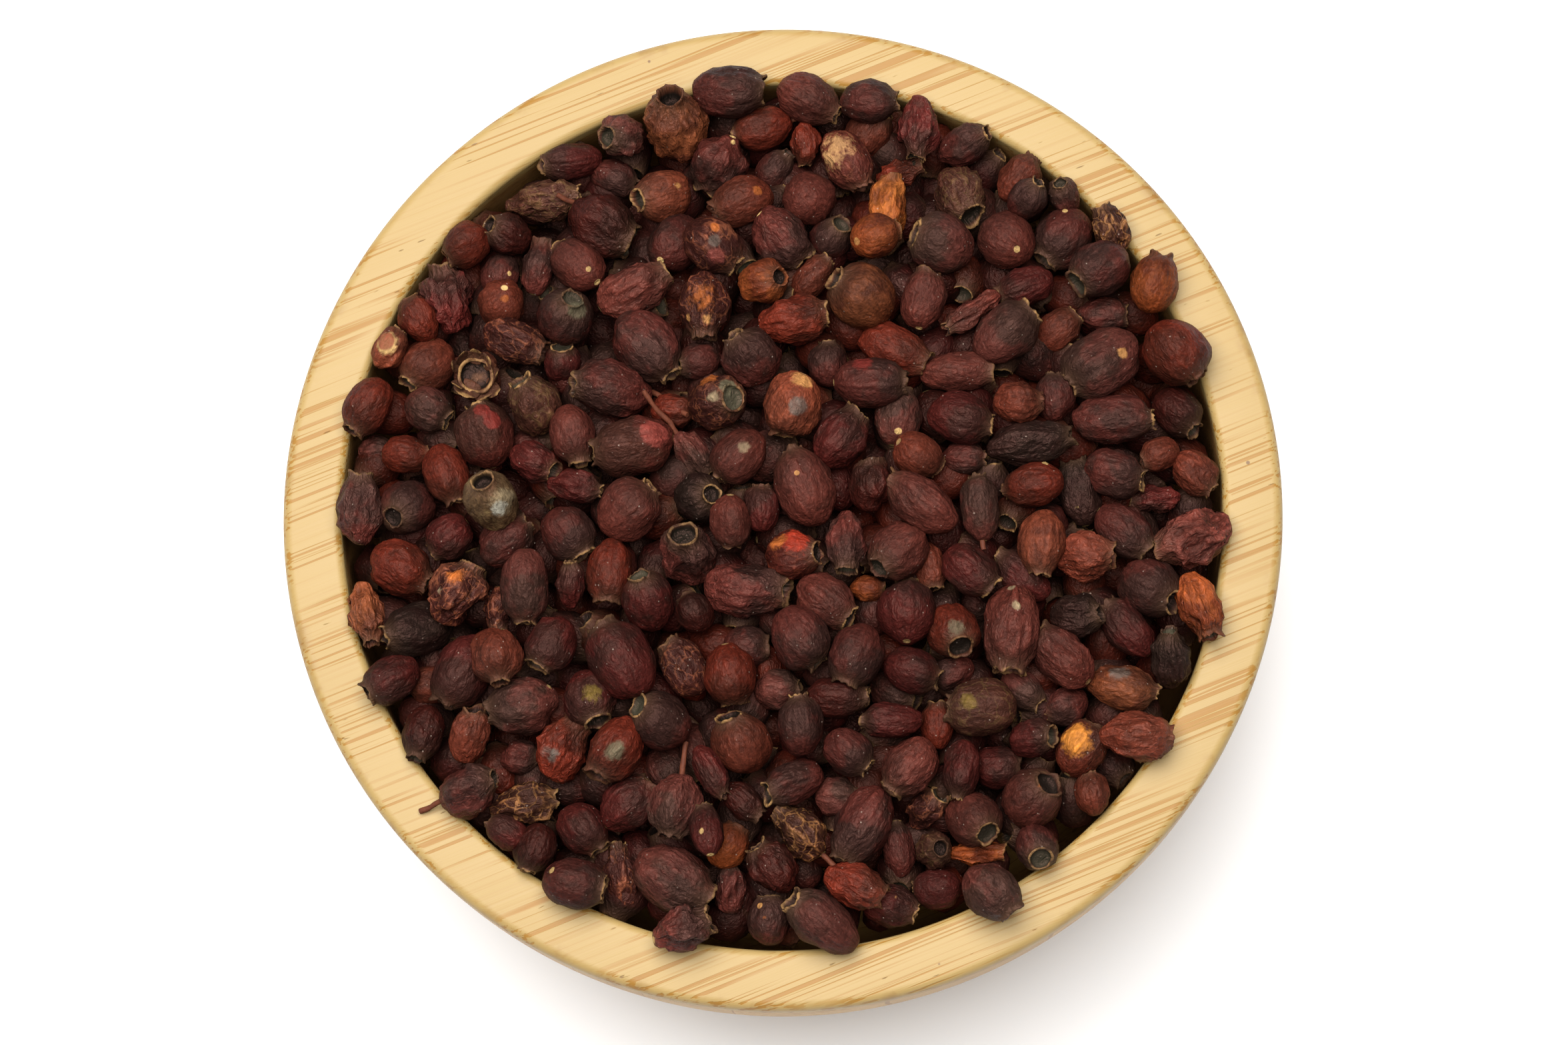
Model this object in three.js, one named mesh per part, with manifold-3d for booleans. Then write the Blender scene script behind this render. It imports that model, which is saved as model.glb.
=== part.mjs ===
// Bowl of dried hawthorn berries: a thick-walled bamboo bowl, turned in one piece, filled a little
// above its rim with shrunken berries. Millimetres, +Z up, origin on the table under the bowl's axis.
import * as THREE from 'three';
import { mergeVertices } from 'three/addons/utils/BufferGeometryUtils.js';
import Module from 'manifold-3d';

// Bowl
const BOWL_RADIUS = 65;
const BOWL_HEIGHT = 58;
const MOUTH_RADIUS = 57.2;
const FOOT_RADIUS = 31;
const FOOT_CHAMFER = 1.2;
const FLOOR_THICKNESS = 9;
const LIP_ROUND = 2;
const EDGE_ROUND = 1.4;
const BELLY_DROP = 6;
const INSIDE_CURVE_START = 26;
const HOLLOW_FULLNESS = 0.8;
const WALL_ANGLES = [8, 22, 36, 50, 64, 78, 90];
const HOLLOW_ANGLES = [0, 25, 50, 75, 90];
const BOWL_SIDES = 64;

// Heap
const DOME_RISE = 9;
const CORE_DEPTH = 4.2;
const CORE_EDGE_RISE = 0.6;
const CORE_RINGS = [1, 0.7, 0.4, 0];
const CORE_SIDES = 16;
const GAP = 0.4;
const LIP_CLEARANCE = 0.86;

// Berries. The profile runs from the stalk end to the crown, a short collar round a sunken eye,
// as shares of half the width and half the length.
const BERRY_PROFILE = [[0, -1], [0.9, -0.55], [1, 0.38], [0.4, 1], [0, 0.8]];
const BERRY_SIDES = 6;
const SMALL_BERRY = 7.2;
const SMALL_BERRY_SIDES = 5;
const LOWEST_SEAT = -1.2;
const HIGHEST_SEAT = 3;
const NESTLE = 0.8;
const END_BALL = 0.8;
const STALK_RADIUS = 0.45;
const STALK_SIDES = 5;
const SIGHT_LEAN = Math.tan(THREE.MathUtils.degToRad(10.7));
const SIGHT_TURN = THREE.MathUtils.degToRad(8.1);

// The berries of the top layer as they lie, seen along the sight line: across, along, length,
// width, and the heading and lift of the crown in degrees. A seventh value is a stalk's length.
const TOP_LAYER = [
  [-27.5, 46.7, 8.1, 5.4, 190, 10],
  [-31.3, 41.4, 9.9, 6.7, 5, 10],
  [-36, 36.9, 7, 6.2, 160, 45],
  [-41.3, 35.5, 6.6, 6.2, 215, 0],
  [-31.9, 32.2, 7.4, 5.1, 80, 0],
  [-28, 25.5, 7.8, 7.8, 60, 60],
  [-23.5, 38, 9.2, 8.7, 330, -5],
  [-8, 46.4, 8.4, 8.3, 240, -30],
  [-21, 50, 7.3, 6.8, 200, 55],
  [-7.1, 55.9, 9.1, 7.4, 0, 0],
  [3.5, 55, 8.6, 7, 330, 0],
  [3.1, 49, 5.9, 4.6, 270, -20],
  [3.5, 41.3, 8, 7.4, 90, -75],
  [14.2, 39.8, 9, 6.1, 88, 0],
  [18, 51, 8.7, 6.3, 265, 0],
  [24, 48.5, 7.8, 5.8, 20, 30],
  [31.2, 44, 7, 5.9, 55, 0],
  [37, 41.6, 5.6, 4.9, 120, 60],
  [32, 41, 6.3, 5.3, 50, 40],
  [37, 36, 8.2, 7.8, 230, 0],
  [18.5, 27.5, 7.8, 6.3, 80, 0],
  [24.8, 26, 8.6, 4.7, 215, 0],
  [31.7, 29.2, 8, 5.7, 200, 0],
  [-51.2, 21.6, 6.2, 4.9, 60, 0],
  [-46, 13.5, 6.3, 6.3, 330, 0],
  [-32, 14, 7.8, 7.8, 125, 30],
  [-49, 7.5, 6.3, 5.3, 0, 0],
  [-32, 6.5, 6.3, 5.8, 330, 10],
  [-26.5, 3, 7.3, 5.3, 350, 0],
  [-17.5, 21.5, 10.7, 8.7, 310, 0],
  [-10.5, 1.5, 7, 6.7, 0, 58],
  [-2.5, 0, 5.8, 5.3, 90, 0],
  [-4, 20, 7.8, 7.8, 130, 25],
  [7.5, 9, 8.7, 7.3, 55, 0],
  [11.5, 3, 6.8, 6.3, 90, 0],
  [32, 8.5, 11.2, 6.3, 10, 0],
  [43, 11.5, 10.7, 6.8, 0, 5],
  [51.4, 12.6, 7.2, 6.5, 310, 15],
  [43, 4.5, 8.2, 6.8, 345, 0],
  [53.5, 4.5, 6.8, 6.3, 315, 0],
  [-43, -3.5, 6.3, 6.3, 220, -10],
  [-35.5, -4, 7.8, 6.8, 40, 5],
  [-53.5, -13.5, 8.2, 5.8, 280, 0],
  [-47, -15.5, 9.8, 7.3, 200, 25],
  [-27.1, -9.8, 6.3, 4.6, 90, 30],
  [-29.5, -17.5, 7.3, 6.8, 240, 5],
  [-50.2, -22, 7.6, 6.3, 215, 10],
  [-46, -29, 7.3, 5.8, 255, 10],
  [-24.5, -24.5, 7.8, 7.3, 290, 20],
  [-11, -13.5, 5.3, 5.3, 120, -20],
  [-12.5, -20.5, 8.2, 6.3, 125, 0],
  [-17, -12, 8.2, 6.8, 110, 35],
  [5.5, -12, 8.2, 6.8, 325, 0],
  [8.4, -4.4, 8.7, 6.1, 268, 20],
  [16, -13.5, 8.2, 7.8, 90, -20],
  [24, -8, 7.8, 6.8, 320, 0],
  [16.5, -21, 7.3, 6.3, 340, 0],
  [7, -24.5, 8.2, 5.8, 0, 0],
  [14, -27.5, 7.8, 5.3, 180, 0],
  [39, -6.5, 7.3, 7.3, 0, 10],
  [44, -3, 8.2, 6.3, 320, 0],
  [38, -14, 6.8, 6.3, 0, 20],
  [44.5, -16, 8.7, 5.8, 130, 0],
  [50, -20, 8.2, 5.8, 95, 35],
  [32, -30, 6.3, 5.3, 0, 30],
  [23, -34, 7.8, 5.3, 260, 0],
  [39.8, -37.3, 5.5, 5.1, 100, 0],
  [32.5, -44, 6.4, 6.1, 285, 55],
  [19.5, -44.5, 5.3, 5.3, 0, 70],
  [20, -49.5, 6.3, 5.8, 180, -20],
  [14, -51.5, 7.3, 6.3, 340, 0],
  [-1.5, -53.5, 6.3, 6.3, 90, 0],
  [-1, -46.5, 7.3, 6.8, 130, 10],
  [-5, -38, 6.3, 4.8, 320, 0],
  [-9, -34, 7.8, 4.4, 300, 0],
  [-19.5, -38.5, 8.2, 7.3, 40, 0],
  [-31.5, -44, 6.3, 5.8, 250, 0],
  [-25.5, -41.5, 7.3, 6.8, 310, 0],
  [-28, -31.5, 8.2, 7.8, 60, 0],
  [-40, -29.5, 7.8, 5.8, 80, 20],
  [-40, -36.5, 8.2, 7.3, 20, 20, 3],
  [-43.8, 28.2, 9.6, 7.9, 100, 0],
  [-36.5, 27.5, 6.8, 6.3, 250, -60],
  [-26.5, 32.5, 7.8, 6.8, 135, -20],
  [-19.5, 29, 9.7, 7.3, 30, 0],
  [-14, 51.5, 11, 8.9, 100, 64],
  [-2.6, 51.1, 8, 6.2, 195, 0, 2.5],
  [-15.5, 42, 7.8, 7.3, 200, 30],
  [-5, 41, 8.2, 6.8, 205, 0],
  [-9, 35, 8.2, 7.3, 320, -10],
  [-10, 27, 8.7, 7.3, 270, 0],
  [-2.5, 30, 7.3, 6.3, 0, 50],
  [0, 36, 8.7, 8.2, 315, -20],
  [1.5, 25, 8.7, 7.3, 10, 0],
  [8.5, 46.5, 8.8, 7, 300, 0],
  [23, 42, 8.2, 7.8, 300, 20],
  [12, 36, 6.3, 6.3, 20, -20],
  [21, 35, 8.2, 8.2, 160, 15],
  [10.5, 28, 9.2, 8.7, 150, 25],
  [29.5, 35.5, 7.8, 7.8, 140, -25],
  [43, 37, 6.8, 5.4, 115, 10],
  [41.5, 31, 8.2, 7.3, 215, 10],
  [48.4, 29.5, 7.7, 6.7, 75, 0],
  [-53.8, 14, 7.8, 6.5, 240, 0],
  [-40, 18, 7.8, 7.3, 300, 75],
  [-35, 22.5, 8.7, 6.3, 335, 0],
  [-38.5, 10, 9.1, 8, 105, 10],
  [-27, 10, 7.8, 6.3, 285, 0],
  [-43.5, 5, 7.8, 6.3, 290, 0],
  [-37.2, 1.2, 8.6, 7.3, 115, 60],
  [-48.5, 0.5, 7.8, 7.3, 230, 50],
  [-22, 16, 10.7, 7.8, 175, 10],
  [-19, 8.5, 10.7, 8.2, 190, 0],
  [-8.5, 14, 7.8, 7.3, 0, 50],
  [1.5, 13.5, 8.7, 8.2, 250, -20],
  [-5.5, 7, 8.2, 6.8, 225, -10],
  [-6.5, -1.5, 6.8, 5.8, 270, -20],
  [3, 2.5, 10.2, 8.2, 110, 0],
  [-19.5, 0, 8.7, 8.2, 45, 10],
  [11.5, 16.5, 9.7, 6.8, 0, 0],
  [17.5, 7, 6.8, 6.3, 330, -30],
  [23, 12, 8.2, 7.3, 345, 0],
  [18, 0.5, 10.2, 6.8, 145, 0],
  [25.5, 0, 8.7, 5.3, 95, 0, 1],
  [29, 23, 9.2, 7.8, 40, 0],
  [41.5, 19, 11.2, 8.7, 215, 5],
  [51, 20.5, 9.2, 8.7, 310, 0],
  [30.5, 14, 6.5, 6.4, 0, 0],
  [32.5, 3, 7.8, 6.3, 190, -20],
  [49, 7, 5.3, 4.8, 205, 5],
  [-27.5, -3, 7.3, 7.3, 305, 0],
  [-49.5, -7.5, 8.2, 7.8, 330, -5],
  [-42, -11, 8.7, 7.8, 60, 0],
  [-33, -10, 9.7, 6.8, 270, -10],
  [-41, -21, 10.2, 7.8, 240, 0],
  [-33, -25.5, 9.2, 8.2, 190, 0],
  [-36.5, -19, 7.8, 7.3, 280, 15],
  [-12, -6, 8.7, 7.8, 100, 60],
  [-22, -8, 8.2, 6.3, 265, 0],
  [-4.5, -10.5, 10.7, 8.2, 355, 0],
  [1.5, -6, 7.3, 6.8, 0, 30],
  [-20.5, -19.5, 10.7, 8.7, 120, 0],
  [-6.5, -21.5, 7.8, 7.3, 280, -15],
  [-15.5, -27.5, 8.2, 7.8, 150, 35],
  [2.5, -17, 8.7, 7.8, 305, -5],
  [15, -5.5, 8.2, 7.8, 225, 25],
  [9.5, -19, 8.7, 7.3, 250, 5],
  [22, -16, 7.3, 7.3, 290, 40],
  [29.5, -15.5, 11.2, 8.2, 265, 0],
  [25.5, -26, 9.2, 7.8, 180, 0],
  [2.5, -28, 7.8, 6.3, 95, 10],
  [33.5, -4.5, 8.7, 6.8, 265, 5],
  [53, -4, 9.7, 8.7, 200, 0],
  [47.3, -10.5, 8.7, 7.8, 325, 28],
  [53.6, -13.2, 9, 6.6, 290, 5],
  [44, -23.5, 9.2, 6.3, 350, 0],
  [36, -19.5, 9.2, 7.3, 135, -5],
  [45.4, -30, 9.1, 7.3, 0, 0],
  [38.5, -31.5, 7.8, 6.8, 60, 0],
  [32, -38, 8.2, 7.8, 40, 45],
  [24.5, -40.5, 7.8, 7.3, 310, 40],
  [26.5, -49.5, 7.8, 7.3, 315, 0],
  [16.5, -33.5, 8.2, 7.3, 230, 0],
  [8.5, -31.5, 6.8, 6.3, 320, 0],
  [10.5, -41, 10.7, 7.8, 240, 0],
  [9.3, -48.8, 8.2, 6.7, 340, 0],
  [5.3, -53.6, 10.2, 7.1, 145, 15],
  [2.5, -42, 7.8, 6.8, 135, 0, 5],
  [1.5, -35.5, 8.2, 5.8, 205, 20],
  [-5, -30.5, 8.2, 7.8, 115, 25],
  [-21, -31.5, 8.7, 7.3, 235, 0],
  [-13.5, -38.5, 8.7, 7.8, 260, 0, 4],
  [-14, -48, 10.7, 8.7, 330, 0],
  [-12.6, -54.3, 8, 7.1, 20, 0],
  [-26.5, -48.5, 7.8, 6.8, 350, 0],
  [-33, -38.5, 8.7, 6.8, 10, 0],
  [-9.5, -41.5, 6.8, 4.8, 100, -20],
];

const wasm = await Module();
wasm.setup();

function solid(geometry) {
  geometry.deleteAttribute('normal');
  geometry.deleteAttribute('uv');
  const merged = mergeVertices(geometry, 1e-4);
  return new wasm.Manifold(new wasm.Mesh({
    numProp: 3,
    vertProperties: new Float32Array(merged.attributes.position.array),
    triVerts: new Uint32Array(merged.index.array),
  }));
}

function geometry(manifold) {
  const mesh = manifold.getMesh();
  const result = new THREE.BufferGeometry();
  result.setAttribute('position', new THREE.BufferAttribute(mesh.vertProperties, 3));
  result.setIndex(new THREE.BufferAttribute(mesh.triVerts, 1));
  return result;
}

function arc(r, z, radius, from, to, steps) {
  return Array.from({ length: steps + 1 }, (_, i) => {
    const angle = THREE.MathUtils.degToRad(from + (to - from) * i / steps);
    return new THREE.Vector2(r + radius * Math.cos(angle), z + radius * Math.sin(angle));
  });
}

// The wall swells in a quarter ellipse from the foot to the widest line just under the rim.
function outsideWall() {
  const width = BOWL_RADIUS - FOOT_RADIUS;
  const height = BOWL_HEIGHT - BELLY_DROP - FOOT_CHAMFER;
  return WALL_ANGLES.map((degrees) => {
    const angle = THREE.MathUtils.degToRad(degrees);
    return new THREE.Vector2(
      FOOT_RADIUS + width * Math.sin(angle),
      FOOT_CHAMFER + height * (1 - Math.cos(angle)),
    );
  });
}

function insideFloor(radius, floor) {
  const height = INSIDE_CURVE_START + FLOOR_THICKNESS - floor;
  return HOLLOW_ANGLES.map((degrees) => {
    const angle = THREE.MathUtils.degToRad(degrees);
    return new THREE.Vector2(
      radius * Math.cos(angle) ** HOLLOW_FULLNESS,
      floor + height * (1 - Math.sin(angle)),
    );
  });
}

function turned(profile, sides) {
  return new THREE.LatheGeometry(profile, sides).rotateX(Math.PI / 2);
}

function bowl() {
  const profile = [
    new THREE.Vector2(0, 0),
    new THREE.Vector2(FOOT_RADIUS - FOOT_CHAMFER, 0),
    ...outsideWall(),
    ...arc(BOWL_RADIUS - EDGE_ROUND, BOWL_HEIGHT - EDGE_ROUND, EDGE_ROUND, 0, 90, 3),
    ...arc(MOUTH_RADIUS + LIP_ROUND, BOWL_HEIGHT - LIP_ROUND, LIP_ROUND, 90, 180, 3),
    ...insideFloor(MOUTH_RADIUS, FLOOR_THICKNESS),
  ];
  return turned(profile, BOWL_SIDES);
}

function heapLevel(x, y) {
  return BOWL_HEIGHT + DOME_RISE * (1 - (x * x + y * y) / MOUTH_RADIUS ** 2);
}

// The unseen middle of the heap: it fills the bowl and stays under the berries' backs.
function core() {
  const radius = MOUTH_RADIUS - GAP;
  const floor = FLOOR_THICKNESS + GAP;
  const top = CORE_RINGS.map((share) => {
    const drop = CORE_DEPTH * (1 - share ** 2) - CORE_EDGE_RISE;
    return new THREE.Vector2(radius * share, heapLevel(radius * share, 0) - drop);
  });
  return turned([...insideFloor(radius, floor).reverse(), ...top], CORE_SIDES);
}

function crownAxis(heading, lift) {
  const turn = THREE.MathUtils.degToRad(heading);
  const rise = THREE.MathUtils.degToRad(lift);
  return new THREE.Vector3(
    Math.cos(rise) * Math.cos(turn),
    Math.cos(rise) * Math.sin(turn),
    Math.sin(rise),
  );
}

// Three balls along a berry stand in for it where berries are set against each other.
function balls(length, width, axis) {
  const end = END_BALL * width / 2;
  return [-1, 0, 1].map((side) => {
    const centre = axis.clone().multiplyScalar(side * (length / 2 - end));
    return { x: centre.x, y: centre.y, z: centre.z, r: side === 0 ? width / 2 : end };
  });
}

function lipSeat(ball, x, y) {
  const out = Math.hypot(x + ball.x, y + ball.y);
  if (out + ball.r < MOUTH_RADIUS - LIP_CLEARANCE) return -Infinity;
  const away = Math.max(0, MOUTH_RADIUS + LIP_ROUND - out);
  const reach = ball.r + LIP_ROUND + LIP_CLEARANCE;
  return BOWL_HEIGHT - LIP_ROUND + Math.sqrt(Math.max(0, reach ** 2 - away ** 2)) - ball.z;
}

function neighbourSeat(ball, x, y, placed) {
  let seat = -Infinity;
  for (const other of placed) {
    const reach = NESTLE * (ball.r + other.r);
    const away = (x + ball.x - other.x) ** 2 + (y + ball.y - other.y) ** 2;
    if (away < reach ** 2) seat = Math.max(seat, other.z + Math.sqrt(reach ** 2 - away) - ball.z);
  }
  return seat;
}

// A berry sinks to the bed unless it meets its neighbours or the bowl's lip.
function seatHeight(own, x, y, placed) {
  const level = heapLevel(x, y);
  let seat = level + LOWEST_SEAT;
  for (const ball of own) seat = Math.max(seat, neighbourSeat(ball, x, y, placed));
  seat = Math.min(seat, level + HIGHEST_SEAT);
  for (const ball of own) seat = Math.max(seat, lipSeat(ball, x, y));
  return seat;
}

// The sight line leans, so a berry above the rim's plane is read a little beyond its true place.
function settle([across, along, length, width, heading, lift, stalk = 0], placed) {
  const axis = crownAxis(heading, lift);
  const own = balls(length, width, axis);
  let x = across;
  let y = along;
  let z = heapLevel(x, y);
  for (let pass = 0; pass < 2; pass += 1) {
    const shift = (z - BOWL_HEIGHT) * SIGHT_LEAN;
    x = across + shift * Math.sin(SIGHT_TURN);
    y = along - shift * Math.cos(SIGHT_TURN);
    z = seatHeight(own, x, y, placed);
  }
  for (const ball of own) placed.push({ x: x + ball.x, y: y + ball.y, z: z + ball.z, r: ball.r });
  return { x, y, z, length, width, axis, stalk };
}

function alongBerry({ x, y, z, axis }, scale) {
  return new THREE.Matrix4().compose(
    new THREE.Vector3(x, y, z),
    new THREE.Quaternion().setFromUnitVectors(new THREE.Vector3(0, 0, 1), axis),
    scale,
  );
}

function berrySkin(berry) {
  const sides = berry.width < SMALL_BERRY ? SMALL_BERRY_SIDES : BERRY_SIDES;
  const profile = BERRY_PROFILE.map(([r, z]) => new THREE.Vector2(r, z));
  const scale = new THREE.Vector3(berry.width / 2, berry.width / 2, berry.length / 2);
  return solid(turned(profile, sides).applyMatrix4(alongBerry(berry, scale)));
}

// A stalk runs from the middle of its berry out of the end away from the crown.
function berrySolid(berry) {
  if (berry.stalk === 0) return berrySkin(berry);
  const reach = berry.stalk + berry.length / 2;
  const rod = new THREE.CylinderGeometry(STALK_RADIUS, STALK_RADIUS, reach, STALK_SIDES);
  rod.rotateX(Math.PI / 2).translate(0, 0, -reach / 2);
  return berrySkin(berry).add(solid(rod.applyMatrix4(alongBerry(berry, new THREE.Vector3(1, 1, 1)))));
}

// Fusing seals a few tiny hollows, and keeping the one largest body fills them.
function berryHeap() {
  const placed = [];
  const berries = TOP_LAYER.map((row) => settle(row, placed));
  const fused = wasm.Manifold.union([solid(core()), ...berries.map(berrySolid)]);
  const bodies = fused.decompose().sort((a, b) => b.volume() - a.volume());
  return geometry(bodies[0]);
}

const bamboo = new THREE.MeshStandardMaterial({ color: 0xeac588, roughness: 0.5, metalness: 0 });
const driedSkin = new THREE.MeshStandardMaterial({ color: 0x42251e, roughness: 0.75, metalness: 0 });

const model = new THREE.Group();
const bowlMesh = new THREE.Mesh(bowl(), bamboo);
bowlMesh.name = 'bowl';
model.add(bowlMesh);
const heapMesh = new THREE.Mesh(berryHeap(), driedSkin);
heapMesh.name = 'berry_heap';
model.add(heapMesh);

export default model;
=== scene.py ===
# A bowl of dried hawthorn berries: a thick bamboo bowl, heaped with loose dried fruit, on a pale
# table. Sizes are written in millimetres and multiplied by MM where they become geometry.
import math
import random

import bmesh
import bpy
import numpy as np
from mathutils import Matrix, Vector


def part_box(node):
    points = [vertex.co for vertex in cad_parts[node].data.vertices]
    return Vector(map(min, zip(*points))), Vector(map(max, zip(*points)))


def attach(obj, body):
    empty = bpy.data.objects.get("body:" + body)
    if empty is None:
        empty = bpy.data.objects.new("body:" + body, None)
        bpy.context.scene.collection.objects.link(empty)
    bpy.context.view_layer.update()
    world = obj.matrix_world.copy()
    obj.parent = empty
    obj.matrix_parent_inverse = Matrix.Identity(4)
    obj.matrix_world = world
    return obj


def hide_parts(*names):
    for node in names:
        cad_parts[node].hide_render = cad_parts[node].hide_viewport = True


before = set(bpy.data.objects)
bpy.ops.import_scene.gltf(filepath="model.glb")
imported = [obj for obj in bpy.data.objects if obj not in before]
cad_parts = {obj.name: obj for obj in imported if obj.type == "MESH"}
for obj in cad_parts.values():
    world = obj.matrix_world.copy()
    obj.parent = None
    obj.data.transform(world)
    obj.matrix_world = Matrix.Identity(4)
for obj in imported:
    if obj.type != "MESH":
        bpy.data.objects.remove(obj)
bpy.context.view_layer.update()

# The camera hangs 600 mm over the rim and leans 10.7 degrees towards the near side, so the mouth
# shows nearly as a circle and only the far side of the inner wall is seen.
MM = 0.001
SIGHT_DISTANCE = 600 * MM
SIGHT_LEAN = math.radians(10.7)
SIGHT_TURN = math.radians(8.1)
AIM_ACROSS = 0.34 * MM
AIM_ALONG = -1.77 * MM
FOCAL_LENGTH = 106.2
SENSOR_WIDTH = 36
NEAREST_SEEN = 50 * MM


def add_object(name, data):
    thing = bpy.data.objects.new(name, data)
    scene.collection.objects.link(thing)
    return thing


scene = bpy.context.scene
bowl_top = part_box("bowl")[1].z
aim = Vector((AIM_ACROSS, AIM_ALONG, bowl_top))
sight = Vector((
    math.sin(SIGHT_LEAN) * math.sin(SIGHT_TURN),
    -math.sin(SIGHT_LEAN) * math.cos(SIGHT_TURN),
    math.cos(SIGHT_LEAN),
))
rightward = Vector((0, 1, 0)).cross(sight).normalized()
camera = add_object("camera", bpy.data.cameras.new("camera"))
camera.data.sensor_width = SENSOR_WIDTH
camera.data.lens = FOCAL_LENGTH
camera.data.clip_start = NEAREST_SEEN
camera.matrix_world = (
    Matrix.Translation(aim + sight * SIGHT_DISTANCE)
    @ Matrix((rightward, sight.cross(rightward), sight)).transposed().to_4x4()
)
scene.camera = camera


# The bowl is turned in one piece from glued bamboo: a thick wall, a flat rim rounded at both edges,
# and a flat foot that it stands on. The fibres lie level and cross the rim at a slant.
BOWL_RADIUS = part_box("bowl")[1].x / MM
BOWL_HEIGHT = bowl_top / MM
MOUTH_RADIUS = 57.2
FOOT_RADIUS = 31
FOOT_CHAMFER = 1.2
FLOOR_THICKNESS = 9
LIP_ROUND = 1.2
EDGE_ROUND = 1.4
BELLY_DROP = 6
INSIDE_CURVE_START = 26
HOLLOW_FULLNESS = 0.8
OUTSIDE_ANGLES = np.radians(np.linspace(8, 90, 24))
INSIDE_ANGLES = np.radians(np.linspace(0, 89, 24))
EDGE_STEPS = 6
LIP_STEPS = 8
BOWL_SIDES = 320
GRAIN_TURN = math.radians(22)
STRIP_WIDTH = 6.4
STRIP_HEIGHT = 20.5
STRIP_SHIFT = 100
GLUE_LINE = 0.07
PALE_STRIP = (1.34, 1.17, 1.03, 1)
DARK_STRIP = (1.1, 0.95, 0.8, 1)
GLUE = (0.75, 0.54, 0.33, 1)
# Painted shade on the inside wall: its colour factor, and the height above which it fades in.
PAINTED_WALL_SHADE = (0.5, 0.4, 0.36)
WALL_SHADE_START = 22


def paint(red, green, blue):
    """A screen colour of 0 to 255 a channel, as the light that a shader works in."""
    shares = [channel / 255 for channel in (red, green, blue)]
    return (*[s / 12.92 if s <= 0.04045 else ((s + 0.055) / 1.055) ** 2.4 for s in shares], 1)


def arc(r, z, radius, start, end, steps):
    angles = np.radians(np.linspace(start, end, steps + 1))
    return [(r + radius * math.cos(a), z + radius * math.sin(a)) for a in angles]


def bowl_outline():
    """The bowl's half section, from the middle of the foot round the rim to the inside floor."""
    swell = BOWL_RADIUS - FOOT_RADIUS
    rise = BOWL_HEIGHT - BELLY_DROP - FOOT_CHAMFER
    outside = [
        (FOOT_RADIUS + swell * math.sin(a), FOOT_CHAMFER + rise * (1 - math.cos(a)))
        for a in OUTSIDE_ANGLES
    ]
    inside = [
        (MOUTH_RADIUS * math.cos(a) ** HOLLOW_FULLNESS,
         FLOOR_THICKNESS + INSIDE_CURVE_START * (1 - math.sin(a)))
        for a in INSIDE_ANGLES
    ]
    return [
        (0, 0), (FOOT_RADIUS - FOOT_CHAMFER, 0), *outside,
        *arc(BOWL_RADIUS - EDGE_ROUND, BOWL_HEIGHT - EDGE_ROUND, EDGE_ROUND, 0, 90, EDGE_STEPS),
        *arc(MOUTH_RADIUS + LIP_ROUND, BOWL_HEIGHT - LIP_ROUND, LIP_ROUND, 90, 180, LIP_STEPS),
        *inside, (0, FLOOR_THICKNESS),
    ]


def turned(name, outline, sides):
    """A closed mesh, in metres, turned from an outline whose two ends lie on the axis."""
    shape = bmesh.new()
    angles = [2 * math.pi * i / sides for i in range(sides)]
    rings = [
        [shape.verts.new((r * math.cos(a) * MM, r * math.sin(a) * MM, z * MM)) for a in angles]
        for r, z in outline[1:-1]
    ]
    first = shape.verts.new((0, 0, outline[0][1] * MM))
    last = shape.verts.new((0, 0, outline[-1][1] * MM))
    for i in range(sides):
        j = (i + 1) % sides
        shape.faces.new((first, rings[0][j], rings[0][i]))
        shape.faces.new((last, rings[-1][i], rings[-1][j]))
        for low, high in zip(rings, rings[1:]):
            shape.faces.new((low[i], low[j], high[j], high[i]))
    bmesh.ops.recalc_face_normals(shape, faces=shape.faces)
    for face in shape.faces:
        face.smooth = True
    mesh = bpy.data.meshes.new(name)
    shape.to_mesh(mesh)
    shape.free()
    return add_object(name, mesh)


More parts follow.
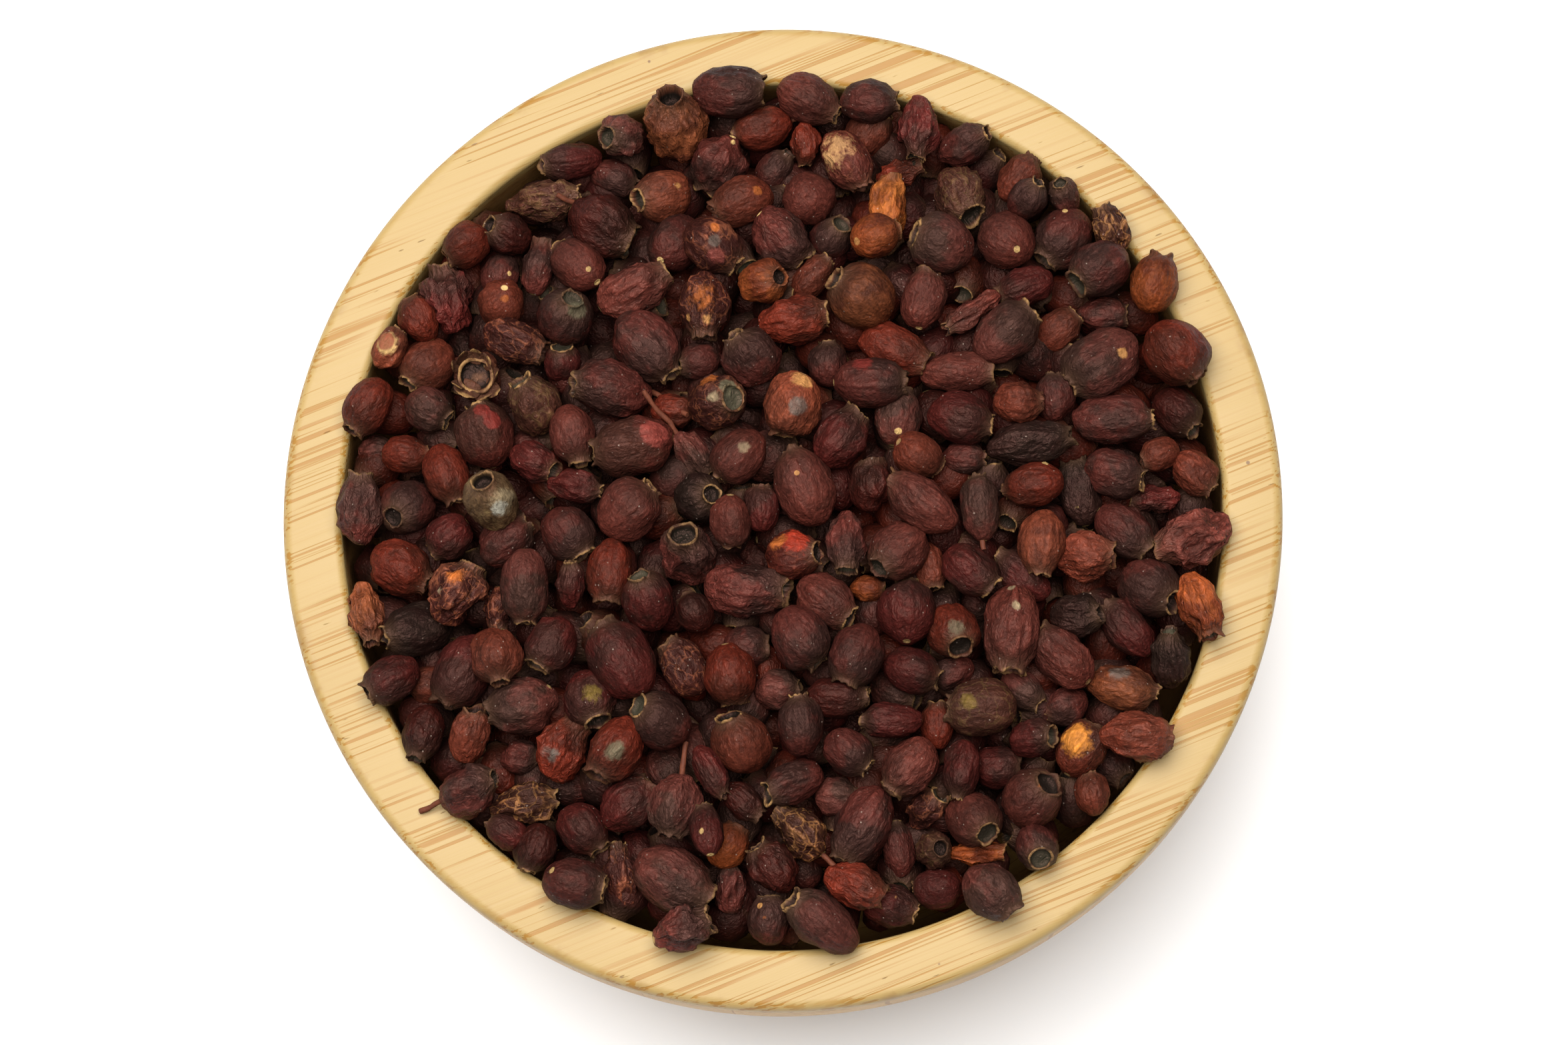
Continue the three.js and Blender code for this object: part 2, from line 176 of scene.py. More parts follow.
class Wire:
    """One socket of a node tree. Sums on wires add Math nodes, or Vector Math nodes on vectors."""

    def __init__(self, tree, socket=None):
        self.tree = tree
        self.socket = socket

    def add(self, kind, settings, inputs, output):
        """A new node of any kind: its settings are set first, then its inputs, by identifier."""
        node = self.tree.nodes.new(kind)
        for key, value in settings.items():
            setattr(node, key, value)
        for key, value in inputs.items():
            port = next(s for s in node.inputs if s.identifier == key)
            if isinstance(value, Wire):
                self.tree.links.new(value.socket, port)
            else:
                port.default_value = value
        return Wire(self.tree, next(s for s in node.outputs if s.identifier == output))

    def sum(self, operation, first, second):
        wires = [w for w in (first, second) if isinstance(w, Wire)]
        if not any(w.socket.type in ("VECTOR", "RGBA") for w in wires):
            values = {"Value": first, "Value_001": second}
            return self.add("ShaderNodeMath", {"operation": operation}, values, "Value")
        first, second = [
            (w, w, w) if isinstance(w, (int, float)) else w for w in (first, second)
        ]
        values = {"Vector": first, "Vector_001": second}
        return self.add("ShaderNodeVectorMath", {"operation": operation}, values, "Vector")

    def __add__(self, other):
        return self.sum("ADD", self, other)

    def __radd__(self, other):
        return self.sum("ADD", other, self)

    def __sub__(self, other):
        return self.sum("SUBTRACT", self, other)

    def __rsub__(self, other):
        return self.sum("SUBTRACT", other, self)

    def __mul__(self, other):
        return self.sum("MULTIPLY", self, other)

    def __rmul__(self, other):
        return self.sum("MULTIPLY", other, self)

    def __truediv__(self, other):
        return self.sum("DIVIDE", self, other)

    def __pow__(self, power):
        return self.sum("POWER", self, power)

    def __abs__(self):
        return self.sum("ABSOLUTE", self, 0)

    def least(self, other):
        return self.sum("MINIMUM", self, other)

    def step(self, low, high):
        """0 where the wire is at low, 1 where it is at high, with a smooth change between."""
        ends = {"Value": self, "From Min": low, "From Max": high}
        smooth = {"interpolation_type": "SMOOTHSTEP"}
        return self.add("ShaderNodeMapRange", smooth, ends, "Result")

    def noise(self, scale, detail=2, seed=0, roughness=0.5, distortion=0):
        """Cloudy noise of 0 to 1 on a vector wire. Each seed, number or wire, gives another."""
        values = {
            "Vector": self, "W": seed, "Scale": scale, "Detail": detail,
            "Roughness": roughness, "Distortion": distortion,
        }
        return self.add("ShaderNodeTexNoise", {"noise_dimensions": "4D"}, values, "Fac")

    def tint(self, below, above):
        """The colour below where the wire is 0, and the colour above where it is 1."""
        values = {"Factor_Float": self, "A_Color": below, "B_Color": above}
        return self.add("ShaderNodeMix", {"data_type": "RGBA"}, values, "Result_Color")

    def length(self):
        wire = {"Vector": self}
        return self.add("ShaderNodeVectorMath", {"operation": "LENGTH"}, wire, "Value")

    def part(self, axis):
        return self.add("ShaderNodeSeparateXYZ", {}, {"Vector": self}, axis)


def new_material(name):
    """A material and the wire that its nodes start from."""
    material = bpy.data.materials.new(name)
    material.use_nodes = True
    return material, Wire(material.node_tree)


def finish_surface(material, base, roughness, height, relief, constants):
    """Links a colour, a roughness and a relief of so many metres, and sets what never varies."""
    shader = material.node_tree.nodes["Principled BSDF"]
    for key, value in constants.items():
        shader.inputs[key].default_value = value
    bump = base.add("ShaderNodeBump", {}, {"Height": height, "Distance": relief}, "Normal")
    for key, wire in (("Base Color", base), ("Roughness", roughness), ("Normal", bump)):
        base.tree.links.new(wire.socket, shader.inputs[key])


def bamboo():
    """Pale fibres, all level and side by side, with tan streaks in loose bands and a few pores.

    The wall shows the strips that the block was glued from, upright ones in three layers. Inside,
    below the lip, the wall is darkened as painted shade where the fruit shadows it.
    """
    material, start = new_material("bamboo")
    place = start.add("ShaderNodeTexCoord", {}, {}, "Object") * (1 / MM)
    turn = {"Vector": place, "Rotation": (0, 0, -GRAIN_TURN)}
    grain = start.add("ShaderNodeMapping", {}, turn, "Vector")
    level = place.part("Z")
    side = level.step(BOWL_HEIGHT - EDGE_ROUND, BOWL_HEIGHT - 3 * EDGE_ROUND)
    cloud = (grain * (0.012, 0.06, 0.06)).noise(1, 2, 1)
    cluster = (grain * (0.02, 0.17, 0.17)).noise(1, 2, 3).step(0.43, 0.52)
    line = (grain * (0.014, 2, 2)).noise(1, 2, 5, 0.5)
    fibre = (grain * (0.03, 5, 5)).noise(1, 2, 9, 0.6)
    streak = cluster * line.step(0.52, 0.58)
    faint = line.step(0.5, 0.62)
    pore = (grain * (0.35, 2.2, 2.2)).noise(1, 1, 13).step(0.74, 0.8)
    speck = start.add("ShaderNodeTexVoronoi", {}, {"Vector": place, "Scale": 0.14}, "Distance")
    out = (place * (1, 1, 0)).length()
    outer = out.step(BOWL_RADIUS - 2.4, BOWL_RADIUS - 0.6)
    inner = out.step(MOUTH_RADIUS + 0.6, MOUTH_RADIUS + 0.1)
    painted_wall_shade = side * inner * level.step(WALL_SHADE_START, WALL_SHADE_START + 4)
    smudge = outer * place.noise(0.25, 3, 17, 0.6).step(0.5, 0.72)
    tone = cloud.tint(paint(169, 142, 90), paint(160, 133, 80))
    across = {"X": grain.part("Y"), "Y": grain.part("Z") + STRIP_SHIFT}
    strips = start.add("ShaderNodeTexBrick", {}, {
        "Vector": start.add("ShaderNodeCombineXYZ", {}, across, "Vector"),
        "Color1": PALE_STRIP, "Color2": DARK_STRIP, "Mortar": GLUE, "Scale": 1,
        "Mortar Size": GLUE_LINE, "Mortar Smooth": 0.4, "Bias": 0,
        "Brick Width": STRIP_WIDTH, "Row Height": STRIP_HEIGHT,
    }, "Color")
    tone = side.tint(tone, tone * strips)
    tone = (faint * 0.2).tint(tone, paint(150, 110, 50))
    tone = (streak * (0.88 - side * 0.38)).tint(tone, paint(146, 101, 30))
    tone = ((1 - fibre) * 0.2).tint(tone, paint(148, 112, 62))
    tone = (pore * 0.6).tint(tone, paint(92, 58, 32))
    tone = (speck.step(0.045, 0.025) * 0.7).tint(tone, paint(84, 46, 30))
    tone = (smudge * 0.4).tint(tone, paint(122, 82, 42))
    # Painted shade: the inside wall below the lip is darkened and warmed where the berries shadow it.
    tone = painted_wall_shade.tint(tone, tone * PAINTED_WALL_SHADE)
    roughness = 0.42 + fibre * 0.2
    height = fibre * 0.6 - streak * 0.5 - pore
    finish_surface(material, tone, roughness, height, 0.05 * MM, {"Specular IOR Level": 0.4})
    return material


bowl = turned("turned_bowl", bowl_outline(), BOWL_SIDES)
bowl.data.materials.append(bamboo())
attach(bowl, "root")
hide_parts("bowl")


# The berries are dried whole: egg-shaped, with a stalk scar at one end and at the other the crown,
# a short papery collar round a sunken eye. They lie loose on each other, heaped over the rim.

# Each row is read across and along the rim's plane as seen, with length, width, the crown's
# heading and lift in degrees, the skin's kind, how shrunken it is, and the length of any stalk.
TOP_LAYER = [
    (-27.5, 46.7, 8.1, 5.4, 190, 10, "wine", 0.2),
    (-31.3, 41.4, 9.9, 6.7, 5, 10, "olive", 0.8),
    (-36, 36.9, 7, 6.2, 160, 45, "maroon", 0.3),
    (-41.3, 35.5, 6.6, 6.2, 215, 0, "brick", 0.1),
    (-31.9, 32.2, 7.4, 5.1, 80, 0, "plum", 0.4),
    (-28, 25.5, 7.8, 7.8, 60, 60, "plum", 0.2),
    (-23.5, 38, 9.2, 8.7, 330, -5, "maroon", 0.5),
    (-8, 46.4, 8.4, 8.3, 240, -30, "plum", 0.6),
    (-21, 50, 7.3, 6.8, 200, 55, "umber", 0.6),
    (-7.1, 55.9, 9.1, 7.4, 0, 0, "plum", 0.3),
    (3.5, 55, 8.6, 7, 330, 0, "rose", 0.3),
    (3.1, 49, 5.9, 4.6, 270, -20, "brick", 0.5),
    (3.5, 41.3, 8, 7.4, 90, -75, "rose", 0.1),
    (14.2, 39.8, 9, 6.1, 88, 0, "honey", 0.5),
    (18, 51, 8.7, 6.3, 265, 0, "wine", 0.8),
    (24, 48.5, 7.8, 5.8, 20, 30, "plum", 0.3),
    (31.2, 44, 7, 5.9, 55, 0, "russet", 0.2),
    (37, 41.6, 5.6, 4.9, 120, 60, "umber", 0.3),
    (32, 41, 6.3, 5.3, 50, 40, "plum", 0.2),
    (37, 36, 8.2, 7.8, 230, 0, "plum", 0.2),
    (18.5, 27.5, 7.8, 6.3, 80, 0, "rose", 0.2),
    (24.8, 26, 8.6, 4.7, 215, 0, "rose", 0.7),
    (31.7, 29.2, 8, 5.7, 200, 0, "wine", 0.3),
    (-51.2, 21.6, 6.2, 4.9, 60, 0, "blush", 0.3),
    (-46, 13.5, 6.3, 6.3, 330, 0, "umber", 0.2),
    (-32, 14, 7.8, 7.8, 125, 30, "olive", 0.5),
    (-49, 7.5, 6.3, 5.3, 0, 0, "brick", 0.2),
    (-32, 6.5, 6.3, 5.8, 330, 10, "wine", 0.5),
    (-26.5, 3, 7.3, 5.3, 350, 0, "wine", 0.4),
    (-17.5, 21.5, 10.7, 8.7, 310, 0, "plum", 0.4),
    (-10.5, 1.5, 7, 6.7, 0, 58, "soot", 0.3),
    (-2.5, 0, 5.8, 5.3, 90, 0, "wine", 0.2),
    (-4, 20, 7.8, 7.8, 130, 25, "plum", 0.3),
    (7.5, 9, 8.7, 7.3, 55, 0, "wine", 0.5),
    (11.5, 3, 6.8, 6.3, 90, 0, "maroon", 0.5),
    (32, 8.5, 11.2, 6.3, 10, 0, "soot", 0.5),
    (43, 11.5, 10.7, 6.8, 0, 5, "plum", 0.3),
    (51.4, 12.6, 7.2, 6.5, 310, 15, "maroon", 0.2),
    (43, 4.5, 8.2, 6.8, 345, 0, "plum", 0.3),
    (53.5, 4.5, 6.8, 6.3, 315, 0, "russet", 0.4),
    (-43, -3.5, 6.3, 6.3, 220, -10, "wine", 0.3),
    (-35.5, -4, 7.8, 6.8, 40, 5, "plum", 0.2),
    (-53.5, -13.5, 8.2, 5.8, 280, 0, "tawny", 0.9),
    (-47, -15.5, 9.8, 7.3, 200, 25, "soot", 0.3),
    (-27.1, -9.8, 6.3, 4.6, 90, 30, "wine", 0.5),
    (-29.5, -17.5, 7.3, 6.8, 240, 5, "wine", 0.2),
    (-50.2, -22, 7.6, 6.3, 215, 10, "wine", 0.2),
    (-46, -29, 7.3, 5.8, 255, 10, "maroon", 0.2),
    (-24.5, -24.5, 7.8, 7.3, 290, 20, "wine", 0.4),
    (-11, -13.5, 5.3, 5.3, 120, -20, "maroon", 0.1),
    (-12.5, -20.5, 8.2, 6.3, 125, 0, "mottled", 0.4),
    (-17, -12, 8.2, 6.8, 110, 35, "wine", 0.2),
    (5.5, -12, 8.2, 6.8, 325, 0, "rose", 0.3),
    (8.4, -4.4, 8.7, 6.1, 268, 20, "plum", 0.7),
    (16, -13.5, 8.2, 7.8, 90, -20, "wine", 0.2),
    (24, -8, 7.8, 6.8, 320, 0, "wine", 0.3),
    (16.5, -21, 7.3, 6.3, 340, 0, "wine", 0.1),
    (7, -24.5, 8.2, 5.8, 0, 0, "maroon", 0.2),
    (14, -27.5, 7.8, 5.3, 180, 0, "wine", 0.3),
    (39, -6.5, 7.3, 7.3, 0, 10, "russet", 0.7),
    (44, -3, 8.2, 6.3, 320, 0, "plum", 0.2),
    (38, -14, 6.8, 6.3, 0, 20, "soot", 0.5),
    (44.5, -16, 8.7, 5.8, 130, 0, "wine", 0.2),
    (50, -20, 8.2, 5.8, 95, 35, "soot", 0.5),
    (32, -30, 6.3, 5.3, 0, 30, "wine", 0.2),
    (23, -34, 7.8, 5.3, 260, 0, "wine", 0.2),
    (39.8, -37.3, 5.5, 5.1, 100, 0, "russet", 0.2),
    (32.5, -44, 6.4, 6.1, 285, 55, "plum", 0.2),
    (19.5, -44.5, 5.3, 5.3, 0, 70, "olive", 0.4),
    (20, -49.5, 6.3, 5.8, 180, -20, "wine", 0.1),
    (14, -51.5, 7.3, 6.3, 340, 0, "wine", 0.3),
    (-1.5, -53.5, 6.3, 6.3, 90, 0, "plum", 0.2),
    (-1, -46.5, 7.3, 6.8, 130, 10, "maroon", 0.6),
    (-5, -38, 6.3, 4.8, 320, 0, "maroon", 0.3),
    (-9, -34, 7.8, 4.4, 300, 0, "wine", 0.4),
    (-19.5, -38.5, 8.2, 7.3, 40, 0, "wine", 0.4),
    (-31.5, -44, 6.3, 5.8, 250, 0, "maroon", 0.1),
    (-25.5, -41.5, 7.3, 6.8, 310, 0, "wine", 0.2),
    (-28, -31.5, 8.2, 7.8, 60, 0, "brick", 0.8),
    (-40, -29.5, 7.8, 5.8, 80, 20, "russet", 0.5),
    (-40, -36.5, 8.2, 7.3, 20, 20, "plum", 0.6, 3),
    (-43.8, 28.2, 9.6, 7.9, 100, 0, "wine", 1),
    (-36.5, 27.5, 6.8, 6.3, 250, -60, "russet", 0.1),
    (-26.5, 32.5, 7.8, 6.8, 135, -20, "rose", 0.1),
    (-19.5, 29, 9.7, 7.3, 30, 0, "rose", 0.7),
    (-14, 51.5, 11, 8.9, 100, 64, "tawny", 0.8),
    (-2.6, 51.1, 8, 6.2, 195, 0, "brick", 0.1, 2.5),
    (-15.5, 42, 7.8, 7.3, 200, 30, "blush", 0.2),
    (-5, 41, 8.2, 6.8, 205, 0, "russet", 0.2),
    (-9, 35, 8.2, 7.3, 320, -10, "mottled", 0.3),
    (-10, 27, 8.7, 7.3, 270, 0, "mottled", 0.5),
    (-2.5, 30, 7.3, 6.3, 0, 50, "amber", 0.3),
    (0, 36, 8.7, 8.2, 315, -20, "plum", 0.6),
    (1.5, 25, 8.7, 7.3, 10, 0, "brick", 0.6),
    (8.5, 46.5, 8.8, 7, 300, 0, "cream", 0.4),
    (23, 42, 8.2, 7.8, 300, 20, "olive", 0.6),
    (12, 36, 6.3, 6.3, 20, -20, "amber", 0.1),
    (21, 35, 8.2, 8.2, 160, 15, "umber", 0.2),
    (10.5, 28, 9.2, 8.7, 150, 25, "tawny", 0.1),
    (29.5, 35.5, 7.8, 7.8, 140, -25, "rose", 0.1),
    (43, 37, 6.8, 5.4, 115, 10, "netted", 0.7),
    (41.5, 31, 8.2, 7.3, 215, 10, "plum", 0.2),
    (48.4, 29.5, 7.7, 6.7, 75, 0, "amber", 0.1),
    (-53.8, 14, 7.8, 6.5, 240, 0, "brick", 0.2),
    (-40, 18, 7.8, 7.3, 300, 75, "husk", 0.5),
    (-35, 22.5, 8.7, 6.3, 335, 0, "mottled", 0.5),
    (-38.5, 10, 9.1, 8, 105, 10, "window", 0.2),
    (-27, 10, 7.8, 6.3, 285, 0, "rose", 0.1),
    (-43.5, 5, 7.8, 6.3, 290, 0, "brick", 0.1),
    (-37.2, 1.2, 8.6, 7.3, 115, 60, "silver", 0.3),
    (-48.5, 0.5, 7.8, 7.3, 230, 50, "plum", 0.1),
    (-22, 16, 10.7, 7.8, 175, 10, "plum", 0.5),
    (-19, 8.5, 10.7, 8.2, 190, 0, "window", 0.4),
    (-8.5, 14, 7.8, 7.3, 0, 50, "mottled", 0.4),
    (1.5, 13.5, 8.7, 8.2, 250, -20, "blush", 0.4),
    (-5.5, 7, 8.2, 6.8, 225, -10, "rose", 0.1),
    (-6.5, -1.5, 6.8, 5.8, 270, -20, "rose", 0.1),
    (3, 2.5, 10.2, 8.2, 110, 0, "rose", 0.2),
    (-19.5, 0, 8.7, 8.2, 45, 10, "rose", 0.2),
    (11.5, 16.5, 9.7, 6.8, 0, 0, "plum", 0.2),
    (17.5, 7, 6.8, 6.3, 330, -30, "russet", 0.1),
    (23, 12, 8.2, 7.3, 345, 0, "wine", 0.3),
    (18, 0.5, 10.2, 6.8, 145, 0, "rose", 0.3),
    (25.5, 0, 8.7, 5.3, 95, 0, "umber", 0.1, 1),
    (29, 23, 9.2, 7.8, 40, 0, "umber", 0.2),
    (41.5, 19, 11.2, 8.7, 215, 5, "umber", 0.3),
    (51, 20.5, 9.2, 8.7, 310, 0, "brick", 0.2),
    (30.5, 14, 6.5, 6.4, 0, 0, "russet", 0.4),
    (32.5, 3, 7.8, 6.3, 190, -20, "brick", 0.2),
    (49, 7, 5.3, 4.8, 205, 5, "russet", 0.1),
    (-27.5, -3, 7.3, 7.3, 305, 0, "plum", 0.1),
    (-49.5, -7.5, 8.2, 7.8, 330, -5, "brick", 0.3),
    (-42, -11, 8.7, 7.8, 60, 0, "mottled", 0.8),
    (-33, -10, 9.7, 6.8, 270, -10, "umber", 0.1),
    (-41, -21, 10.2, 7.8, 240, 0, "wine", 0.2),
    (-33, -25.5, 9.2, 8.2, 190, 0, "umber", 0.4),
    (-36.5, -19, 7.8, 7.3, 280, 15, "russet", 0.3),
    (-12, -6, 8.7, 7.8, 100, 60, "plum", 0.7),
    (-22, -8, 8.2, 6.3, 265, 0, "brick", 0.1),
    (-4.5, -10.5, 10.7, 8.2, 355, 0, "plum", 0.7),
    (1.5, -6, 7.3, 6.8, 0, 30, "cracked", 0.4),
    (-20.5, -19.5, 10.7, 8.7, 120, 0, "wine", 0.2),
    (-6.5, -21.5, 7.8, 7.3, 280, -15, "brick", 0.2),
    (-15.5, -27.5, 8.2, 7.8, 150, 35, "plum", 0.1),
    (2.5, -17, 8.7, 7.8, 305, -5, "plum", 0.2),
    (15, -5.5, 8.2, 7.8, 225, 25, "rose", 0.2),
    (9.5, -19, 8.7, 7.3, 250, 5, "plum", 0.1),
    (22, -16, 7.3, 7.3, 290, 40, "brick", 0.2),
    (29.5, -15.5, 11.2, 8.2, 265, 0, "rose", 0.5),
    (25.5, -26, 9.2, 7.8, 180, 0, "olive", 0.2),
    (2.5, -28, 7.8, 6.3, 95, 10, "plum", 0.1),
    (33.5, -4.5, 8.7, 6.8, 265, 5, "blush", 0.2),
    (53, -4, 9.7, 8.7, 200, 0, "rose", 1),
    (47.3, -10.5, 8.7, 7.8, 325, 28, "plum", 0.1),
    (53.6, -13.2, 9, 6.6, 290, 5, "amber", 0.7),
    (44, -23.5, 9.2, 6.3, 350, 0, "tawny", 0.4),
    (36, -19.5, 9.2, 7.3, 135, -5, "rose", 0.4),
    (45.4, -30, 9.1, 7.3, 0, 0, "russet", 0.7),
    (38.5, -31.5, 7.8, 6.8, 60, 0, "pulp", 0.3),
    (32, -38, 8.2, 7.8, 40, 45, "rose", 0.1),
    (24.5, -40.5, 7.8, 7.3, 310, 40, "rose", 0.1),
    (26.5, -49.5, 7.8, 7.3, 315, 0, "umber", 0.2),
    (16.5, -33.5, 8.2, 7.3, 230, 0, "rose", 0.4),
    (8.5, -31.5, 6.8, 6.3, 320, 0, "plum", 0.2),
    (10.5, -41, 10.7, 7.8, 240, 0, "plum", 0.4),
    (9.3, -48.8, 8.2, 6.7, 340, 0, "brick", 0.7),
    (5.3, -53.6, 10.2, 7.1, 145, 15, "umber", 0.2),
    (2.5, -42, 7.8, 6.8, 135, 0, "netted", 0.6, 5),
    (1.5, -35.5, 8.2, 5.8, 205, 20, "plum", 0.3),
    (-5, -30.5, 8.2, 7.8, 115, 25, "russet", 0.1),
    (-21, -31.5, 8.7, 7.3, 235, 0, "brick", 0.4),
    (-13.5, -38.5, 8.7, 7.8, 260, 0, "umber", 0.6, 4),
    (-14, -48, 10.7, 8.7, 330, 0, "umber", 0.4),
    (-12.6, -54.3, 8, 7.1, 20, 0, "plum", 0.9),
    (-26.5, -48.5, 7.8, 6.8, 350, 0, "plum", 0.1),
    (-33, -38.5, 8.7, 6.8, 10, 0, "netted", 0.7),
    (-9.5, -41.5, 6.8, 4.8, 100, -20, "wine", 0.1),
]

# Berries that lie a little deeper, partly covered by the ones above, read in the same way.
COVERED = [
    (-47.5, 25.5, 6.5, 6, 120, 0, "brick", 0.4),
    (-37, 31.5, 6.5, 5.5, 90, -30, "plum", 0.2),
    (-22, 44.5, 7, 5.5, 340, 0, "plum", 0.3),
    (-1, 45.5, 6, 5, 45, 20, "plum", 0.2),
    (-14, 35.5, 9, 7.5, 60, -40, "plum", 0.2),
    (11.5, 54.5, 7.5, 6.5, 0, 0, "plum", 0.3),
    (11, 50, 8, 6.5, 50, 30, "russet", 0.3),
    (15.5, 45, 6.5, 5, 20, 0, "brick", 0.8),
    (6.5, 36, 6, 6, 45, 50, "plum", 0.2),
    (4, 30.5, 7, 5, 50, 10, "russet", 0.3),
    (36, 23.5, 6.5, 5.5, 40, 0, "russet", 0.2),
    (42, 25.5, 7, 5.5, 0, 0, "plum", 0.4),
    (-46.5, 19.5, 8, 7.5, 230, 20, "russet", 0.2),
    (-53, 8, 5, 5, 0, 0, "umber", 0.5),
    (-28.5, 19.5, 5.5, 5.5, 90, 45, "wine", 0.2),
    (-14, 13, 5.5, 5, 0, 0, "brick", 0.4),
    (-11.5, 7.5, 6.5, 5, 310, -20, "umber", 0.6, 7),
    (-10.5, 19.5, 6, 5.5, 190, 15, "plum", 0.2),
    (6, 19, 6, 6, 90, 0, "plum", 0.3),
    (15, 12, 7.5, 6.5, 80, 0, "umber", 0.3),
    (22.5, 18, 9.5, 6, 0, 0, "rose", 0.4),
    (23.5, 6.5, 6, 5, 0, 0, "plum", 0.3),
    (35.5, 14.5, 6.5, 6, 90, 0, "plum", 0.2),
    (38.5, 2, 9, 6.5, 100, 0, "soot", 0.5),
    (14.5, 21, 9.5, 7, 335, 0, "brick", 0.4),
    (-54.5, 0, 9.5, 7.5, 90, 0, "plum", 0.8),
    (-45, -23, 7, 5.5, 180, 0, "russet", 0.2),
    (-36.5, -13, 6, 5, 270, 0, "mottled", 0.7),
    (-4.5, -18, 6, 6, 0, 0, "plum", 0.2),
    (19, -7.5, 6, 5, 280, 0, "russet", 0.3),
    (11, -10.5, 4.5, 4, 0, 0, "amber", 0.2),
    (22, -21.5, 6, 5, 200, 0, "plum", 0.3),
    (20, -28.5, 6, 5, 90, 0, "brick", 0.2),
    (-0.5, -23.5, 6, 6, 0, 0, "umber", 0.4),
    (31, -9, 8.5, 6, 140, 0, "wine", 0.3),
    (36.5, -26, 6, 5.5, 200, 0, "plum", 0.3),
    (31, -24, 6.5, 5.5, 320, 10, "umber", 0.3),
    (48.5, 1, 6.5, 5, 180, 0, "wine", 0.9),
    (-33.5, -32.5, 5, 5, 0, 0, "plum", 0.3),
    (-35, -42, 6, 5, 150, 0, "wine", 0.3),
    (-7, -44, 6, 6, 60, 0, "amber", 0.1),
    (-20.5, -48, 8, 6, 100, 0, "mottled", 0.7),
    (-6.5, -49.5, 6.5, 5.5, 90, 0, "plum", 0.6),
    (7, -37.5, 5.5, 5.5, 0, 0, "umber", 0.3),
    (15, -44.5, 7, 5, 100, 0, "plum", 0.3),
    (18.5, -39.5, 6, 5.5, 45, 30, "mottled", 0.6),
    (25, -45, 6.5, 4.5, 0, 0, "amber", 0.9),
    (27.5, -34, 6.5, 6, 0, 0, "wine", 0.2),
]

# The skins, each with its main colour, its second colour, the second one's share, and whether it
# lies on the ridges and in a net of fine lines rather than in clouds.
SKINS = {
    "plum": (paint(66, 30, 25), paint(43, 27, 23), 0.45, 0),
    "maroon": (paint(45, 15, 11), paint(34, 16, 12), 0.4, 0),
    "wine": (paint(61, 22, 19), paint(43, 23, 19), 0.4, 0),
    "rose": (paint(76, 36, 29), paint(60, 30, 24), 0.35, 0),
    "blush": (paint(102, 50, 33), paint(76, 37, 25), 0.35, 0),
    "brick": (paint(82, 30, 19), paint(61, 26, 17), 0.35, 0),
    "russet": (paint(84, 38, 26), paint(67, 31, 21), 0.35, 0),
    "tawny": (paint(94, 50, 29), paint(67, 34, 22), 0.4, 0),
    "umber": (paint(74, 38, 32), paint(49, 33, 27), 0.45, 0),
    "amber": (paint(118, 58, 28), paint(86, 37, 20), 0.4, 0),
    "honey": (paint(151, 84, 37), paint(104, 51, 23), 0.4, 0),
    "soot": (paint(30, 17, 14), paint(28, 20, 16), 0.4, 0),
    "olive": (paint(56, 31, 23), paint(73, 52, 32), 0.5, 1),
    "silver": (paint(126, 104, 68), paint(74, 54, 36), 0.55, 0),
    "cream": (paint(76, 34, 27), paint(104, 58, 42), 0.3, 1),
    "pulp": (paint(70, 29, 19), paint(46, 21, 14), 0.4, 0),
    "window": (paint(68, 30, 24), paint(53, 30, 23), 0.5, 0),
    "mottled": (paint(46, 21, 17), paint(106, 60, 40), 0.3, 1),
    "netted": (paint(43, 23, 16), paint(118, 80, 46), 0.4, 1),
    "husk": (paint(65, 32, 24), paint(80, 46, 30), 0.5, 1),
    "cracked": (paint(60, 23, 17), paint(84, 38, 25), 0.4, 1),
}
DOME_RISE = 9
LOWEST_SEAT = -1.2
HIGHEST_SEAT = 3
COVERED_SEAT = -3.4
LIP_CLEARANCE = 0.86
LIP_BEARING = 2
NESTLE = 0.8
END_BALL = 0.8
LUMP = 0.42
DENT = 1.1
RIDGE = 0.42
FOLD = 2
BUNCHING = 0.4
NEARLY_UPRIGHT = 0.99
HUSK_CROWN = 1.25
SHEEN_COLOUR = (1, 0.52, 0.42, 1)
BERRY_SEED = 11

# What differs from berry to berry by chance alone, within these ends.
CHANCES = {
    "seed": (0, 500), "bright": (0.9, 1.1), "crown_width": (0.7, 1.1),
    "crown_rise": (-0.05, 0.05), "cup_depth": (-0.05, 0.2), "bend": (-0.08, 0.08),
}
SINGLE_VALUES = (
    "seed", "shrunken", "crown_width", "crown_rise", "cup_depth", "bend", "eye", "scar",
    "lip_pale", "second_share", "on_crests",
)
MARK_SLOTS = ("a", "b", "c")
NO_MARK = ((0, 0, 0), 0.01, 0, (0, 0, 0, 1))
FIELDS = {"FLOAT": "value", "FLOAT_VECTOR": "vector", "FLOAT_COLOR": "color", "QUATERNION": "value"}

# Half section of a berry from the scar to the eye: radius and height as shares of half the width
# and half the length, then how far the point is on the collar, in the cup and on the lip.
BERRY_OUTLINE = np.array([
    (0.00, -0.965, 0, 0, 0), (0.08, -0.99, 0, 0, 0), (0.28, -0.97, 0, 0, 0),
    (0.54, -0.87, 0, 0, 0), (0.78, -0.67, 0, 0, 0), (0.93, -0.40, 0, 0, 0),
    (0.99, -0.10, 0, 0, 0), (1.00, 0.16, 0, 0, 0), (0.95, 0.42, 0, 0, 0),
    (0.85, 0.64, 0.05, 0, 0), (0.70, 0.80, 0.3, 0, 0), (0.56, 0.89, 0.75, 0, 0),
    (0.52, 0.94, 1, 0, 0.4), (0.515, 0.985, 1, 0, 1), (0.47, 1.01, 1, 0, 1),
    (0.425, 0.98, 1, 0.3, 0.8), (0.41, 0.90, 1, 1, 0), (0.35, 0.82, 1, 1, 0),
    (0.18, 0.80, 1, 1, 0), (0.00, 0.83, 1, 1, 0),
])


